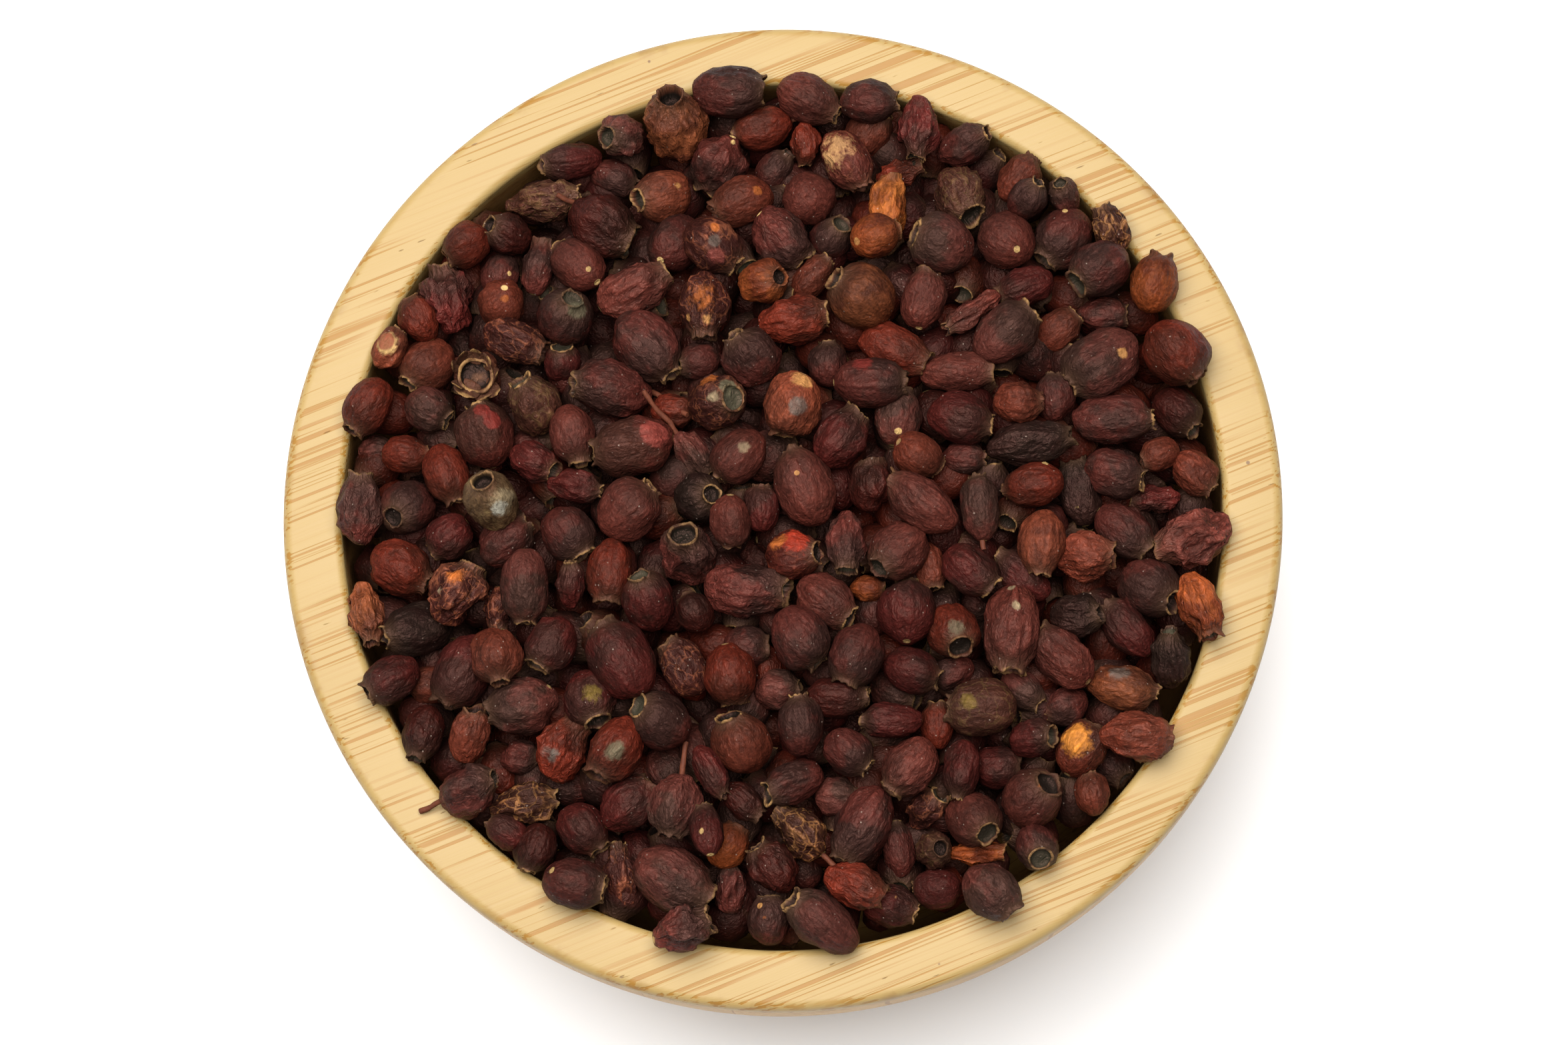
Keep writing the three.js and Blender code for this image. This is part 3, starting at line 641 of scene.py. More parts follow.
def heap_level(x, y):
    return BOWL_HEIGHT + DOME_RISE * (1 - (x * x + y * y) / MOUTH_RADIUS ** 2)


def crown_axis(heading, lift):
    turn = math.radians(heading)
    rise = math.radians(lift)
    level = math.cos(rise)
    return Vector((level * math.cos(turn), level * math.sin(turn), math.sin(rise)))


def balls(length, width, axis):
    """Three balls along a berry, each a centre and a radius, stand in for it against others."""
    end = END_BALL * width / 2
    reach = length / 2 - end
    return [(-reach * axis, end), (0 * axis, width / 2), (reach * axis, end)]


def lip_seat(centre, radius, x, y):
    """The height at which a ball of a berry clears the bowl's lip, taken as rounder than it is."""
    out = math.hypot(x + centre.x, y + centre.y)
    if out + radius < MOUTH_RADIUS - LIP_CLEARANCE:
        return -math.inf
    away = max(0, MOUTH_RADIUS + LIP_BEARING - out)
    reach = radius + LIP_BEARING + LIP_CLEARANCE
    return BOWL_HEIGHT - LIP_BEARING + math.sqrt(max(0, reach ** 2 - away ** 2)) - centre.z


def neighbour_seat(centre, radius, x, y, placed):
    seat = -math.inf
    for other, other_radius in placed:
        reach = NESTLE * (radius + other_radius)
        away = (x + centre.x - other.x) ** 2 + (y + centre.y - other.y) ** 2
        if away < reach ** 2:
            seat = max(seat, other.z + math.sqrt(reach ** 2 - away) - centre.z)
    return seat


def seat_height(own, x, y, placed, covered):
    """A berry sinks to the bed unless it meets its neighbours or the bowl's lip."""
    level = heap_level(x, y)
    seat = level + (COVERED_SEAT if covered else LOWEST_SEAT)
    if not covered:
        for centre, radius in own:
            seat = max(seat, neighbour_seat(centre, radius, x, y, placed))
        seat = min(seat, level + HIGHEST_SEAT)
    for centre, radius in own:
        seat = max(seat, lip_seat(centre, radius, x, y))
    return seat


def settle(row, placed, covered=False):
    """A berry where it lies. The sight line leans, so a raised berry is read beyond its place."""
    across, along, length, width, heading, lift, kind, shrunken = row[:8]
    axis = crown_axis(heading, lift)
    own = balls(length, width, axis)
    x, y, z = across, along, heap_level(across, along)
    for _ in range(2):
        shift = (z - BOWL_HEIGHT) * math.tan(SIGHT_LEAN)
        x = across + shift * math.sin(SIGHT_TURN)
        y = along - shift * math.cos(SIGHT_TURN)
        z = seat_height(own, x, y, placed, covered)
    middle = Vector((x, y, z))
    if not covered:
        placed += [(middle + centre, radius) for centre, radius in own]
    return {
        "middle": middle, "axis": axis, "length": length, "width": width, "kind": kind,
        "shrunken": shrunken, "stalk": row[8] if len(row) > 8 else 0,
    }


def smooth_outline(points, count):
    """Points spread evenly by number along a smooth curve through the given ones."""
    padded = np.vstack([2 * points[0] - points[1], points, 2 * points[-1] - points[-2]])
    result = []
    for t in np.linspace(0, len(points) - 1, count):
        i = min(int(t), len(points) - 2)
        a, b, c, d = padded[i:i + 4]
        s = t - i
        result.append(0.5 * (
            2 * b + (c - a) * s + (2 * a - 5 * b + 4 * c - d) * s ** 2
            + (3 * b - a - 3 * c + d) * s ** 3
        ))
    return np.clip(result, [0, -2, 0, 0, 0], [2, 2, 1, 1, 1])


def blank_shape(name, given, rings, sides, thickness=1):
    """A shape of unit half sizes. Its sides stand closest on +X, which is turned up in the heap."""
    outline = smooth_outline(given, rings)
    even = np.linspace(-math.pi, math.pi, sides, endpoint=False)
    angles = even - BUNCHING * np.sin(even)
    points = [(0, 0, outline[0][1])]
    points += [
        (r * math.cos(a) * thickness, r * math.sin(a), z)
        for r, z in outline[1:-1, :2] for a in angles
    ]
    points.append((0, 0, outline[-1][1]))
    last = len(points) - 1
    faces = []
    for i in range(sides):
        j = (i + 1) % sides
        faces.append((0, 1 + j, 1 + i))
        faces.append((last, last - sides + i, last - sides + j))
        for k in range(rings - 3):
            low = 1 + k * sides
            faces.append((low + i, low + j, low + sides + j, low + sides + i))
    mesh = bpy.data.meshes.new(name)
    mesh.from_pydata(points, [], faces)
    mesh.polygons.foreach_set("use_smooth", [True] * len(faces))
    spot = mesh.attributes.new("spot", "FLOAT_VECTOR", "POINT")
    spot.data.foreach_set("vector", np.array(points, float).ravel())
    for column, key in ((2, "collar"), (3, "cup"), (4, "lip")):
        shares = [outline[0][column]] + [v for v in outline[1:-1, column] for _ in range(sides)]
        shares.append(outline[-1][column])
        mesh.attributes.new(key, "FLOAT", "POINT").data.foreach_set("value", shares)
    return add_object(name, mesh)


def open_tree(name, inputs):
    """A group of geometry nodes and a wire from each of its named inputs."""
    tree = bpy.data.node_groups.new(name, "GeometryNodeTree")
    for key, kind in inputs:
        tree.interface.new_socket(key, in_out="INPUT", socket_type="NodeSocket" + kind)
    tree.interface.new_socket("Result", in_out="OUTPUT", socket_type="NodeSocketGeometry")
    given = tree.nodes.new("NodeGroupInput").outputs
    return tree, [Wire(tree, socket) for socket in given[:len(inputs)]]


def close_tree(tree, shape, material):
    """Gives the finished shape its material and makes it the group's result."""
    inputs = {"Geometry": shape, "Material": material}
    shape = shape.add("GeometryNodeSetMaterial", {}, inputs, "Geometry")
    end = tree.nodes.new("NodeGroupOutput")
    tree.links.new(shape.socket, end.inputs[0])


def moved(shape, offset):
    inputs = {"Geometry": shape, "Offset": offset}
    return shape.add("GeometryNodeSetPosition", {}, inputs, "Geometry")


def grown(name, mesh, tree, values):
    """The plain piece that a tree makes of a mesh, once the tree's named inputs are set."""
    host = add_object(name + "_start", mesh)
    modifier = host.modifiers.new(tree.name, "NODES")
    modifier.node_group = tree
    for key, value in values.items():
        modifier[tree.interface.items_tree[key].identifier] = value
    view = bpy.context.evaluated_depsgraph_get()
    plain = bpy.data.meshes.new_from_object(
        host.evaluated_get(view), preserve_all_data_layers=True, depsgraph=view,
    )
    bpy.data.objects.remove(host)
    plain.name = name
    return add_object(name, plain)


def berry_tree():
    """Sets a blank at every point, stretches it to its berry's size, and wrinkles it."""
    tree, given = open_tree("dried berries", [
        ("Points", "Geometry"), ("Blank", "Object"), ("Lump", "Float"), ("Dent", "Float"),
        ("Ridge", "Float"), ("Fold", "Float"), ("Skin", "Material"),
    ])
    start, blank, lump, dent, ridge, fold, skin = given

    def named(key, kind="FLOAT"):
        settings = {"data_type": kind}
        inputs = {"Name": key}
        return start.add("GeometryNodeInputNamedAttribute", settings, inputs, "Attribute")

    source = start.add("GeometryNodeObjectInfo", {}, {"Object": blank}, "Geometry")
    copies = {"Points": start, "Instance": source}
    shape = start.add("GeometryNodeInstanceOnPoints", {}, copies, "Instances")
    shape = start.add("GeometryNodeRealizeInstances", {}, {"Geometry": shape}, "Geometry")

    seed = named("seed")
    shrunken = named("shrunken")
    collar = named("collar")
    cup = named("cup")
    lip = named("lip")
    spot = named("spot", "FLOAT_VECTOR")
    size = named("size", "FLOAT_VECTOR")
    place = spot * size * (1 / MM)

    swelling = 1 + lump * (0.5 + shrunken) * (spot.noise(0.8, 1, seed) - 0.5)
    ragged = (spot.noise(2.4, 2, seed + 40).step(0.3, 0.7) - 0.5) * lip
    crown = 1 + collar * (named("crown_width") - 1) + ragged * 0.2
    upright = spot.part("Z")
    girth = crown * swelling
    lean = named("bend") * (upright * upright - 0.3)
    rise = upright * swelling + collar * named("crown_rise") + ragged * 0.16
    rise = rise - cup * named("cup_depth") * (1 - lip)
    local = start.add("ShaderNodeCombineXYZ", {}, {
        "X": spot.part("X") * girth + lean, "Y": spot.part("Y") * girth, "Z": rise,
    }, "Vector") * size
    turned_local = start.add("FunctionNodeRotateVector", {}, {
        "Vector": local, "Rotation": named("turn", "QUATERNION"),
    }, "Vector")
    where = turned_local + named("middle", "FLOAT_VECTOR")
    inputs = {"Geometry": shape, "Position": where}
    shape = start.add("GeometryNodeSetPosition", {}, inputs, "Geometry")

    body = (1 - collar) * upright.step(-1, -0.85)
    hollow = place.noise(0.17, 1, seed + 7).step(0.52, 0.75) * body * shrunken * dent
    normal = start.add("GeometryNodeInputNormal", {}, {}, "Normal")
    shape = moved(shape, normal * (hollow * -MM))

    ring = start.add("ShaderNodeVectorMath", {"operation": "NORMALIZE"}, {
        "Vector": spot * (1, 1, 0),
    }, "Vector")
    lengthwise = ring * 2.1 + place * (0.12, 0.12, 0.16)
    ridges = abs(lengthwise.noise(1, 2, seed + 11, 0.55, 0.4) * 2 - 1) ** 0.7
    folds = abs(place.noise(0.26, 3, seed + 17, 0.5, 0.7) * 2 - 1) ** 0.8
    crinkle = abs(place.noise(0.95, 2, seed + 23, 0.55, 0.5) * 2 - 1) ** 0.8
    deep = shrunken * shrunken
    height = (ridges - 0.4) * ridge * (0.5 + shrunken) + (folds - 0.4) * fold * (0.28 + deep)
    height = height + (crinkle - 0.4) * ridge * (0.25 + shrunken)
    shape = moved(shape, normal * (height * body * MM))
    relief = ridges * 0.3 + crinkle * 0.35 + folds * shrunken * 0.5 - hollow * 0.3
    for key, kind, value in (("place", "FLOAT_VECTOR", place), ("relief", "FLOAT", relief)):
        settings = {"data_type": kind, "domain": "POINT"}
        inputs = {"Geometry": shape, "Name": key, "Value": value}
        shape = start.add("GeometryNodeStoreNamedAttribute", settings, inputs, "Geometry")
    close_tree(tree, shape, skin)
    return tree


def dried_skin():
    """Leathery skin with a papery lip, a dull eye, a pale scar and dust, painted dark in its folds as
    shade.
    """
    material, start = new_material("dried_skin")

    def read(key, output="Fac"):
        return start.add("ShaderNodeAttribute", {"attribute_name": key}, {}, output)

    def cells(vector, scale, feature):
        settings = {"feature": feature, "voronoi_dimensions": "4D"}
        inputs = {"Vector": vector, "W": seed, "Scale": scale}
        return start.add("ShaderNodeTexVoronoi", settings, inputs, "Distance")

    place = read("place", "Vector")
    seed = read("seed")
    shrunken = read("shrunken")
    collar = read("collar")
    cup = read("cup")
    relief = read("relief")
    spot = read("spot", "Vector")
    first = read("first_colour", "Color")
    second = read("second_colour", "Color")

    upright = spot.part("Z")
    cloud = place.noise(0.22, 3, seed + 31, 0.6)
    wrinkle = abs((place * (1, 1, 0.6)).noise(1.25, 2, seed + 37, 0.5, 0.3) * 2 - 1).step(0, 0.45)
    grain = place.noise(2.2, 3, seed + 47, 0.6).step(0.25, 0.75)
    crest = read("on_crests")
    share = read("second_share")
    ridge = relief.step(0, 0.4)
    patch = (cloud + upright * 0.1 + share * 0.5 - 0.7).step(-0.05, 0.1)
    bent = place + (place.noise(0.9, 1, seed + 67) - 0.5) * 1.6
    net = cells(bent, 0.5, "DISTANCE_TO_EDGE").step(0.07, 0.015)
    line = net * place.noise(0.5, 1, seed + 83).step(0.35, 0.55)
    worn_crest = (relief.step(0.18, 0.34) * 0.6 + line).least(1) * crest * (share + 0.4)
    patch = patch * (1 - crest) + worn_crest
    tone = (patch * 0.9).tint(first, second)
    blush = (cloud - upright).step(0.2, 1.6)
    tone = (blush * 0.35).tint(tone, tone * (1.5, 1.15, 1.0))
    # Painted light: the skin is darkened in its wrinkle valleys and folds as painted shade, and
    # lightened on the ridges, partly as worn paler skin and partly as painted highlight.
    crease_shade_and_ridge_highlight = wrinkle * (0.12 + shrunken * 0.35) + ridge * (0.25 + shrunken * 0.6) + grain * 0.25
    tone = tone * (0.25 + crease_shade_and_ridge_highlight * 1.6)
    tone = (collar * (1 - cup) * 0.5).tint(tone, paint(70, 50, 36))
    eye = read("eye").tint(paint(20, 16, 13), paint(66, 62, 48))
    tone = cup.step(0.4, 0.9).tint(tone, eye)
    edge = read("lip").step(0.45, 0.95) * place.noise(0.8, 2, seed + 53).step(0.35, 0.6)
    tone = (edge * read("lip_pale")).tint(tone, paint(140, 106, 66))
    scar_radius = (place * (1, 1, 0)).length()
    scar = scar_radius.step(0.55, 0.38) * upright.step(-0.5, -0.8) * read("scar")
    tone = scar.tint(tone, paint(206, 172, 112))
    dust = cells(place, 1.3, "F1").step(0.2, 0.06)
    dust = dust * place.noise(0.7, 1, seed + 3).step(0.42, 0.6)
    tone = (dust * 0.6).tint(tone, paint(160, 142, 128))
    object_place = start.add("ShaderNodeTexCoord", {}, {}, "Object") * (1 / MM)
    fray = place.noise(0.9, 3, seed + 5, 0.7) - 0.5
    for slot in MARK_SLOTS:
        away = (object_place - read("mark_" + slot, "Vector")).length()
        ragged = read("mark_ragged_" + slot)
        edge = away / read("mark_radius_" + slot) + fray * ragged * 2
        # The marks take the same painted shade in the creases and painted highlight on the ridges.
        worn = edge.step(1.1, 0.95 - ragged * 0.5) * (0.6 + crease_shade_and_ridge_highlight * 0.5)
        tone = worn.tint(tone, read("mark_colour_" + slot, "Color") * (0.5 + crease_shade_and_ridge_highlight * 0.8))
    roughness = 0.6 - crease_shade_and_ridge_highlight * 0.25 + dust * 0.2
    height = wrinkle * (0.3 + shrunken * 0.5) + grain * 0.25
    sheen = {"Specular IOR Level": 0.22, "Specular Tint": SHEEN_COLOUR}
    finish_surface(material, tone, roughness, height, 0.2 * MM, sheen)
    return material


def turn_to(axis):
    """Turns a blank's +Z to a berry's axis and its +X as far up as it goes."""
    side = Vector((1, 0, 0))
    if abs(axis.z) < NEARLY_UPRIGHT:
        side = (Vector((0, 0, 1)) - axis * axis.z).normalized()
    return Matrix((side, axis.cross(side), axis)).transposed().to_quaternion()


def heap_piece(name, blank, berries, tree, skin):
    """One plain mesh of finished berries, each grown from a point that holds what it is like."""
    mesh = bpy.data.meshes.new(name)
    middles = [berry["middle"] * MM for berry in berries]
    mesh.from_pydata(middles, [], [])

    def give(key, kind, values):
        layer = mesh.attributes.new(key, kind, "POINT")
        layer.data.foreach_set(FIELDS[kind], np.array(values, float).ravel())

    give("middle", "FLOAT_VECTOR", middles)
    sizes = [(berry["width"], berry["width"], berry["length"]) for berry in berries]
    give("size", "FLOAT_VECTOR", np.array(sizes) * MM / 2)
    give("turn", "QUATERNION", [tuple(turn_to(berry["axis"])) for berry in berries])
    for key in SINGLE_VALUES:
        give(key, "FLOAT", [berry[key] for berry in berries])
    for key in ("first_colour", "second_colour"):
        light = [np.array(berry[key][:3]) * berry["bright"] for berry in berries]
        give(key, "FLOAT_COLOR", [(*colour, 1) for colour in light])
    for i, slot in enumerate(MARK_SLOTS):
        marks = [berry["marks"][i] if len(berry["marks"]) > i else NO_MARK for berry in berries]
        spots, radii, raggeds, colours = zip(*marks)
        give("mark_" + slot, "FLOAT_VECTOR", spots)
        give("mark_radius_" + slot, "FLOAT", radii)
        give("mark_ragged_" + slot, "FLOAT", raggeds)
        give("mark_colour_" + slot, "FLOAT_COLOR", colours)

    piece = grown(name, mesh, tree, {
        "Blank": blank, "Lump": LUMP, "Dent": DENT, "Ridge": RIDGE, "Fold": FOLD, "Skin": skin,
    })
    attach(piece, "root")
    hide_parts("berry_heap")


draw = random.Random(BERRY_SEED)


def character(berry):
    """Adds what a berry's kind says and what differs from one berry to the next by chance."""
    keys = ("first_colour", "second_colour", "second_share", "on_crests")
    berry.update(zip(keys, SKINS[berry["kind"]]))
    for key, ends in CHANCES.items():
        berry[key] = draw.uniform(*ends)
    berry["eye"] = draw.random() ** 2
    berry["scar"] = draw.choice((0, 0, 0.3, 0.8))
    berry["lip_pale"] = draw.random() ** 1.3
    berry["marks"] = []
    return berry


def sight_line(across, along):
    """The camera's place, and the direction from it to a point read in the rim's plane."""
    eye = (aim + sight * SIGHT_DISTANCE) / MM
    return eye, (Vector((across, along, BOWL_HEIGHT)) - eye).normalized()


def seen_point(berry, eye, ray):
    """Where a line of sight first meets a berry, as a distance along the line, or None."""
    away = eye - berry["middle"]
    width = berry["width"] / 2
    squash = width / (berry["length"] / 2) - 1
    start = away + berry["axis"] * (away.dot(berry["axis"]) * squash)
    step = ray + berry["axis"] * (ray.dot(berry["axis"]) * squash)
    half = start.dot(step) / step.dot(step)
    root = half ** 2 - (start.dot(start) - width ** 2) / step.dot(step)
    return -half - math.sqrt(root) if root >= 0 else None


def put_marks(berries):
    """Each mark is read in the rim's plane and goes to the berry that is seen there."""
    for across, along, radius, ragged, colour in MARKS:
        eye, ray = sight_line(across, along)
        met = [(seen_point(berry, eye, ray), i) for i, berry in enumerate(berries)]
        met = [pair for pair in met if pair[0] is not None]
        if met:
            distance, i = min(met)
            spot = eye + ray * distance
            berries[i]["marks"].append((spot, radius, ragged, MARK_COLOURS[colour]))


# Worn patches, cracks and pale scars: across and along the rim's plane as seen, then the radius,
# how ragged the edge is, and the colour.
MARKS = [
    (-39.2, 13.6, 1.2, 0.3, "red"),
    (-37.6, 12.2, 1.4, 0.3, "red"),
    (-16.2, 10.4, 2.2, 0.3, "brick_red"),
    (7.3, 48.8, 2.5, 1.4, "parchment"),
    (5.9, 46.6, 1.6, 1.4, "parchment"),
    (37.7, -30.0, 2.5, 0.7, "pulp"),
    (2.9, 17.3, 1.6, 0.9, "tan"),
    (2.2, 13.7, 1.4, 0.6, "slate"),
    (-42.3, -8.2, 1.6, 1.2, "orange"),
    (-44.9, -10.2, 0.9, 0.9, "bone"),
    (2.0, -3.8, 2.1, 0.7, "scarlet"),
    (-0.6, -4.0, 1.3, 0.7, "orange"),
    (23.9, -25.2, 1.3, 0.6, "ochre"),
    (43.6, -21.0, 1.7, 0.6, "slate"),
    (22.6, -15.7, 1.3, 0.8, "sage"),
    (-8.7, 37.9, 0.8, 0.6, "orange"),
    (-8.7, 36.0, 1.0, 0.4, "slate"),
    (-8.4, 33.8, 1.3, 0.6, "dusty_red"),
    (-9.6, 17.6, 1.5, 0.7, "orange"),
    (-7.0, 16.2, 1.3, 0.4, "sage"),
    (-8.9, 15.0, 0.9, 0.9, "bone"),
    (-30.1, -32.2, 1.6, 0.8, "slate"),
    (-21.4, -31.5, 1.5, 0.8, "sage"),
    (38.2, 0.0, 0.5, 0.2, "cream"),
    (-35.9, 1.2, 2.3, 1.0, "bone"),
    (-36.6, 0.1, 1.3, 0.9, "white"),
    (-38.3, 3.6, 1.3, 0.6, "husk"),
    (10.6, 19.7, 1.5, 0.6, "red"),
    (44.6, 20.6, 0.8, 0.9, "tan"),
    (29.6, -10.2, 0.7, 0.5, "bone"),
    (30.4, -12.6, 0.8, 0.5, "bone"),
    (-12.7, 25.5, 0.8, 0.8, "tan"),
    (-9.6, 25.5, 0.8, 0.8, "tan"),
    (-10.4, 28.6, 2.2, 1.6, "orange"),
    (-24.5, -23.9, 1.4, 1.0, "ochre"),
    (-4.8, 8.3, 0.9, 0.7, "bone"),
    (2.0, 4.8, 0.35, 0.2, "tan"),
    (33.5, -36.2, 0.7, 0.7, "orange"),
    (34.3, 6.1, 0.5, 0.2, "cream"),
    (15.2, 10.2, 0.5, 0.2, "cream"),
    (30.9, 34.5, 0.5, 0.2, "cream"),
    (37.2, 39.7, 0.4, 0.2, "cream"),
    (9.8, 35.7, 0.55, 0.2, "tan"),
    (-35.6, 31.7, 0.4, 0.2, "cream"),
    (-36.3, 28.3, 0.7, 0.5, "orange"),
    (-25.3, 32.2, 0.4, 0.2, "cream"),
    (-3.0, 42.8, 0.8, 0.6, "orange"),
    (-6.2, 49.4, 0.5, 0.2, "cream"),
    (-13.4, 43.5, 0.6, 0.9, "tan"),
    (-29.5, -46.9, 0.5, 0.2, "cream"),
    (-29.9, -23.0, 0.45, 0.2, "cream"),
    (-10.4, -41.9, 0.5, 0.2, "cream"),
    (14.7, -50.4, 0.5, 0.2, "tan"),
    (-2.8, -51.5, 0.45, 0.3, "tan"),
    (-2.2, -53.1, 0.4, 0.3, "orange"),
    (-51.8, 22.5, 1.7, 0.6, "cream"),
    (-51.9, 22.8, 1.3, 0.3, "red"),
    (-39.6, 17.8, 1.2, 0.8, "husk"),
    (-26.6, 26.9, 1.5, 0.5, "sage"),
]
MARK_COLOURS = {
    "cream": paint(202, 166, 106), "tan": paint(186, 132, 76), "orange": paint(156, 84, 38),
    "pulp": paint(205, 128, 52), "ochre": paint(104, 84, 38), "red": paint(118, 42, 36),
    "brick_red": paint(122, 54, 46), "scarlet": paint(150, 46, 28), "dusty_red": paint(118, 58, 50),
    "slate": paint(84, 74, 66), "sage": paint(92, 86, 66), "bone": paint(136, 118, 90),
    "white": paint(170, 166, 150), "husk": paint(104, 72, 52), "parchment": paint(176, 132, 86),
}

placed = []
top_berries = [character(settle(row, placed)) for row in TOP_LAYER]
covered_berries = [character(settle(row, placed, covered=True)) for row in COVERED]
put_marks(top_berries + covered_berries)
husk = next(berry for berry in top_berries if berry["kind"] == "husk")
husk["crown_width"] = HUSK_CROWN

tree = berry_tree()
skin = dried_skin()
fine_blank = blank_shape("fine_blank", BERRY_OUTLINE, rings=32, sides=60)
plain_blank = blank_shape("plain_blank", BERRY_OUTLINE, rings=24, sides=40)
for name, right, back in (
    ("berries_back_left", False, True), ("berries_back_right", True, True),
    ("berries_front_left", False, False), ("berries_front_right", True, False),
):
    quarter = [
        berry for berry in top_berries
        if (berry["middle"].x >= 0) == right and (berry["middle"].y >= 0) == back
    ]
    heap_piece(name, fine_blank, quarter, tree, skin)
heap_piece("berries_covered", plain_blank, covered_berries, tree, skin)


# One husk is open at the top and keeps its sepals: thin, broad, pointed leaves with papery tips,
# dried on and curled outwards in a ragged ring round its rim.
SEPAL_COUNT = 9
SEPAL_LENGTH = 2.5
SEPAL_WIDTH = 3
SEPAL_THICKNESS = 0.16
SEPAL_SHRUNKEN = 0.6
HUSK_RIM = 0.47

# A sepal's half outline, in the same terms as a berry's.
SEPAL_OUTLINE = np.array([
    (0.00, -1.00, 1, 0, 0), (0.70, -0.90, 1, 0, 0), (0.95, -0.55, 1, 0, 0),
    (1.00, -0.10, 1, 0, 0), (0.90, 0.30, 1, 0, 0.3), (0.65, 0.65, 1, 0, 0.8),
    (0.30, 0.90, 1, 0, 1), (0.00, 1.00, 1, 0, 1),
])

sepals = []
rim_middle = husk["middle"] + husk["axis"] * husk["length"] * HUSK_RIM
side = husk["axis"].orthogonal().normalized()
for i in range(SEPAL_COUNT):
    turn = 2 * math.pi * (i + draw.uniform(-0.3, 0.3)) / SEPAL_COUNT
    spoke = Matrix.Rotation(turn, 3, husk["axis"]) @ side
    sepal = character({
        "middle": rim_middle + spoke * draw.uniform(2.2, 2.9),
        "axis": (spoke + husk["axis"] * draw.uniform(0.8, 2.2)).normalized(),
        "length": SEPAL_LENGTH * draw.uniform(0.8, 1.3),
        "width": SEPAL_WIDTH * draw.uniform(0.7, 1.2),
        "kind": "husk", "shrunken": SEPAL_SHRUNKEN,
    })
    sepal["bend"] = draw.uniform(0, 0.5)
    sepal["lip_pale"] = 1
    sepals.append(sepal)
sepal_blank = blank_shape("sepal_blank", SEPAL_OUTLINE, rings=14, sides=16, thickness=SEPAL_THICKNESS)
heap_piece("sepals", sepal_blank, sepals, tree, skin)


# More of the same berries lie below, seen only as dark backs in the gaps, their colours darkened to
# half as painted shade.
# They are set on a spiral that spreads them evenly, in two layers, and one ring of them closes the
# gap along the wall.
BED_COUNT = 400
BED_DROP = 6
BED_LAYER = 4.5
BED_RADIUS = MOUTH_RADIUS - 6
GOLDEN_TURN = 137.508
RING_COUNT = 48
RING_RADIUS = MOUTH_RADIUS - 4.1
RING_DROP = 4.6
BED_SHADE = 0.5
BED_KINDS = ["plum", "wine", "maroon", "umber", "brick"]


def bed_berry(x, y, z):
    berry = character({
        "middle": Vector((x, y, z)),
        "axis": crown_axis(draw.uniform(0, 360), draw.uniform(-20, 40)),
        "length": draw.uniform(7, 8), "width": draw.uniform(6.2, 7.4),
        "kind": draw.choice(BED_KINDS),
        "shrunken": draw.uniform(0.1, 0.5),
    })
    # Painted shade: the colours of the berries below are darkened to half, for the shade that they
    # lie in.
    berry["bright"] *= BED_SHADE
    return berry


bed = []
for i in range(BED_COUNT):
    out = BED_RADIUS * math.sqrt((i + 0.5) / BED_COUNT)
    turn = math.radians(i * GOLDEN_TURN)
    x, y = out * math.cos(turn), out * math.sin(turn)
    bed.append(bed_berry(x, y, heap_level(x, y) - BED_DROP - BED_LAYER * (i % 2)))
for i in range(RING_COUNT):
    turn = 2 * math.pi * i / RING_COUNT
    x, y = RING_RADIUS * math.cos(turn), RING_RADIUS * math.sin(turn)
    bed.append(bed_berry(x, y, heap_level(x, y) - RING_DROP - draw.uniform(0, 1.5)))
coarse_blank = blank_shape("coarse_blank", BERRY_OUTLINE, rings=12, sides=14)
heap_piece("berries_below", coarse_blank, bed, tree, skin)
for blank in (fine_blank, plain_blank, coarse_blank, sepal_blank):
    bpy.data.objects.remove(blank)


# A few berries keep a bit of their stalk, and loose bits of twig lie about. All are thin, brown
# and slightly crooked, and grow out of the berry's scar end or rest on the skins.
STALK_THICKNESS = 0.7
STALK_STEPS = 7
STALK_SIDES = 9
STALK_KINK = 1
STALK_ROOT = 0.5
LOOSE_TWIGS = [(-16.8, 15.7, -12.4, 12.6), (-29.6, 42.3, -27.5, 41.1)]


def twig_tree():
    """Turns chains of edges into thin round twigs that swell and kink a little."""
    tree, (chains, thickness, kink, bark) = open_tree("twigs", [
        ("Chains", "Geometry"), ("Thickness", "Float"), ("Kink", "Float"), ("Bark", "Material"),
    ])
    place = chains.add("GeometryNodeInputPosition", {}, {}, "Position") * (1 / MM)
    drift = chains.add("ShaderNodeCombineXYZ", {}, {
        axis: place.noise(0.35, 1, i * 9) - 0.5 for i, axis in enumerate("XYZ")
    }, "Vector")
    shape = moved(chains, drift * kink * MM)
    curve = chains.add("GeometryNodeMeshToCurve", {}, {"Mesh": shape}, "Curve")
    ring = chains.add("GeometryNodeCurvePrimitiveCircle", {}, {
        "Resolution": STALK_SIDES, "Radius": 0.5 * MM,
    }, "Curve")
    girth = thickness * (0.6 + place.noise(0.9, 2, 3) * 0.8)
    shape = chains.add("GeometryNodeCurveToMesh", {}, {
        "Curve": curve, "Profile Curve": ring, "Scale": girth, "Fill Caps": True,
    }, "Mesh")
    close_tree(tree, shape, bark)
    return tree


def bark():
    """Dull reddish brown, paler in small cloudy patches."""
    material, start = new_material("bark")
    place = start.add("ShaderNodeTexCoord", {}, {}, "Object") * (1 / MM)
    cloud = place.noise(1.4, 3, 4, 0.6)
    tone = cloud.tint(paint(56, 28, 22), paint(112, 60, 38))
    dull = {"Specular IOR Level": 0.15}
    finish_surface(material, tone, 0.7 - cloud * 0.1, cloud, 0.1 * MM, dull)
    return material


def resting_point(across, along):
    """The point that is seen there on the berries, raised to carry a twig."""
    eye, ray = sight_line(across, along)
    met = [seen_point(berry, eye, ray) for berry in top_berries + covered_berries + bed]
    near = min(distance for distance in met if distance is not None)
    return eye + ray * (near - STALK_THICKNESS / 2)


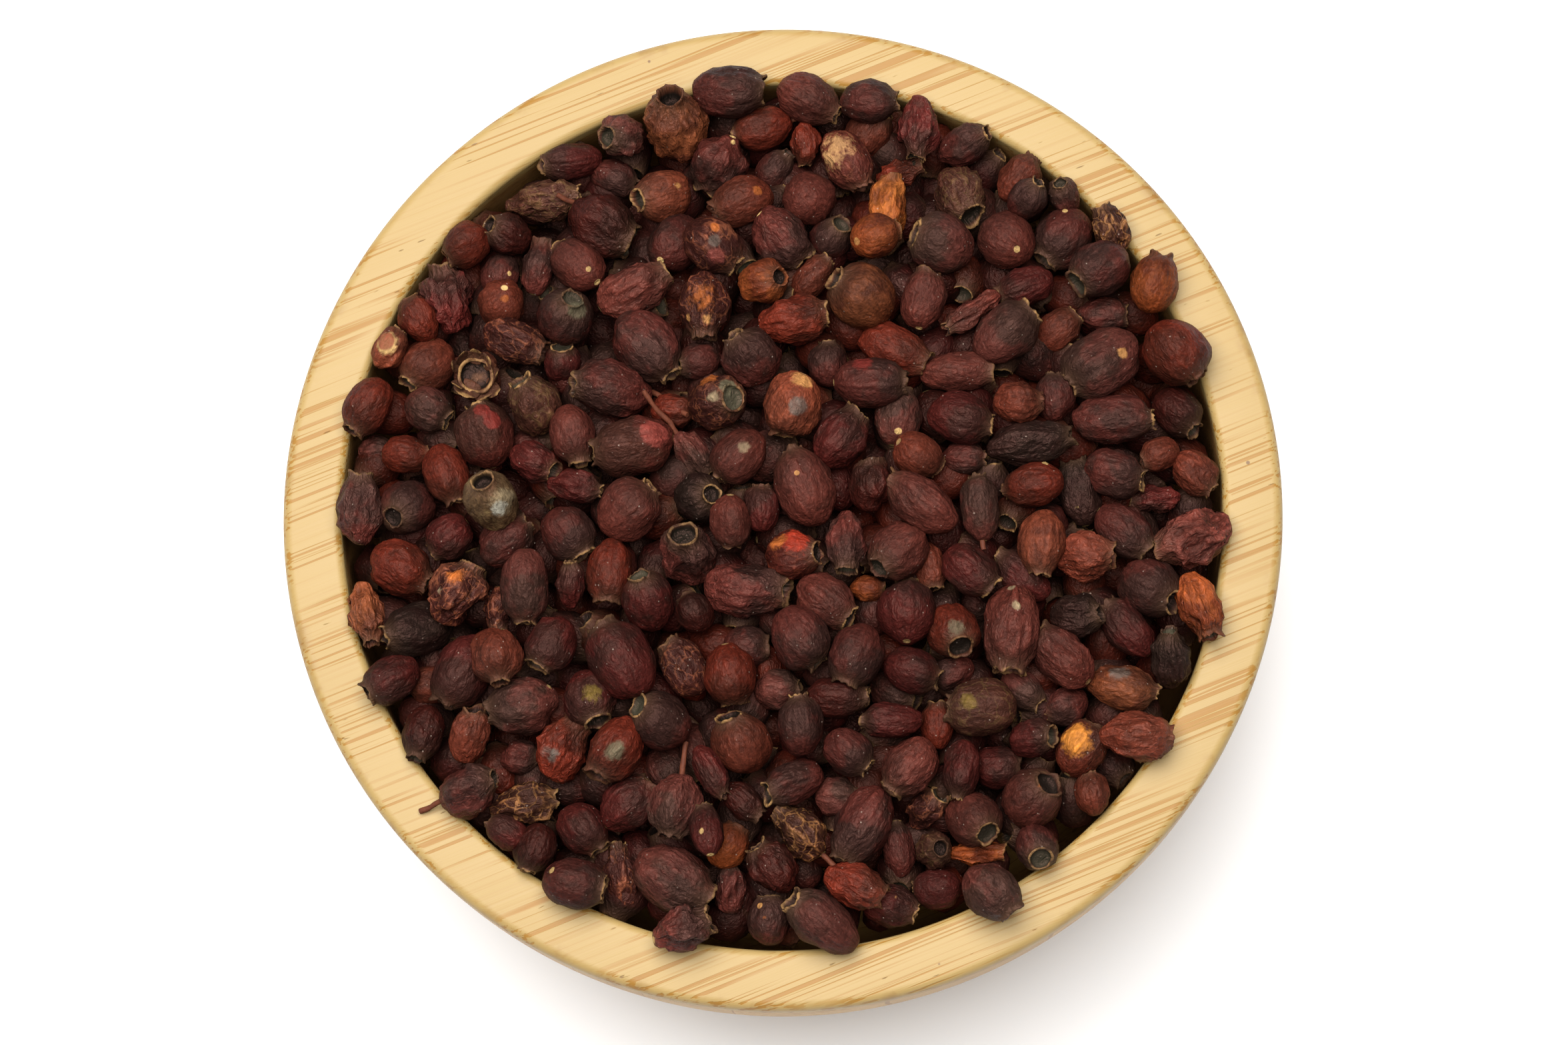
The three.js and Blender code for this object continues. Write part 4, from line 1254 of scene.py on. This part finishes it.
chains = []
for berry in top_berries + covered_berries:
    if berry["stalk"]:
        root = berry["axis"] * (berry["length"] / 2 - STALK_ROOT)
        tip = berry["axis"] * (berry["length"] / 2 + berry["stalk"])
        chains.append((berry["middle"] - root, berry["middle"] - tip))
for row in LOOSE_TWIGS:
    chains.append((resting_point(*row[:2]), resting_point(*row[2:])))
points = []
edges = []
for first, last in chains:
    for i in range(STALK_STEPS + 1):
        if i:
            edges.append((len(points) - 1, len(points)))
        points.append(first.lerp(last, i / STALK_STEPS) * MM)
mesh = bpy.data.meshes.new("stalks")
mesh.from_pydata(points, edges, [])
stalks = grown("stalks", mesh, twig_tree(), {
    "Thickness": STALK_THICKNESS, "Kink": STALK_KINK, "Bark": bark(),
})
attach(stalks, "root")
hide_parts("berry_heap")


# The table is pale, matt and round. One wide soft light hangs over the bowl, a little to the back
# left, and the surrounding is seen pale, as in a light tent, but gives little light of its own.
TABLE_RADIUS = 660 * MM
TABLE_SIDES = 96
TABLE_PAINT = (0.94, 0.94, 0.94, 1)
TABLE_ROUGHNESS = 0.9
LAMP_SIZE = 950 * MM
LAMP_POWER = 26
LAMP_PLACE = Vector((-90, 140, 1000)) * MM
LAMP_AIM = Vector((0, 0, 50)) * MM
SURROUND_LIGHT = 0.08
SURROUND_SEEN = 1

floor_mesh = bpy.data.meshes.new("table")
turns = [2 * math.pi * i / TABLE_SIDES for i in range(TABLE_SIDES)]
edge = [(TABLE_RADIUS * math.cos(turn), TABLE_RADIUS * math.sin(turn), 0) for turn in turns]
floor_mesh.from_pydata(edge, [], [range(TABLE_SIDES)])
floor = add_object("table", floor_mesh)
table_paint = new_material("table_paint")[0]
table_shader = table_paint.node_tree.nodes["Principled BSDF"]
table_shader.inputs["Base Color"].default_value = TABLE_PAINT
table_shader.inputs["Roughness"].default_value = TABLE_ROUGHNESS
floor_mesh.materials.append(table_paint)

lamp = add_object("soft_light", bpy.data.lights.new("soft_light", "AREA"))
lamp.data.size = LAMP_SIZE
lamp.data.energy = LAMP_POWER
lamp.location = LAMP_PLACE
lamp.rotation_euler = (LAMP_PLACE - LAMP_AIM).to_track_quat("Z", "Y").to_euler()

world = bpy.data.worlds.new("pale_surround")
scene.world = world
world.use_nodes = True
seen = Wire(world.node_tree).add("ShaderNodeLightPath", {}, {}, "Is Camera Ray")
strength = seen * (SURROUND_SEEN - SURROUND_LIGHT) + SURROUND_LIGHT
background = world.node_tree.nodes["Background"]
background.inputs["Color"].default_value = (1, 1, 1, 1)
world.node_tree.links.new(strength.socket, background.inputs["Strength"])
scene.view_settings.view_transform = "Standard"
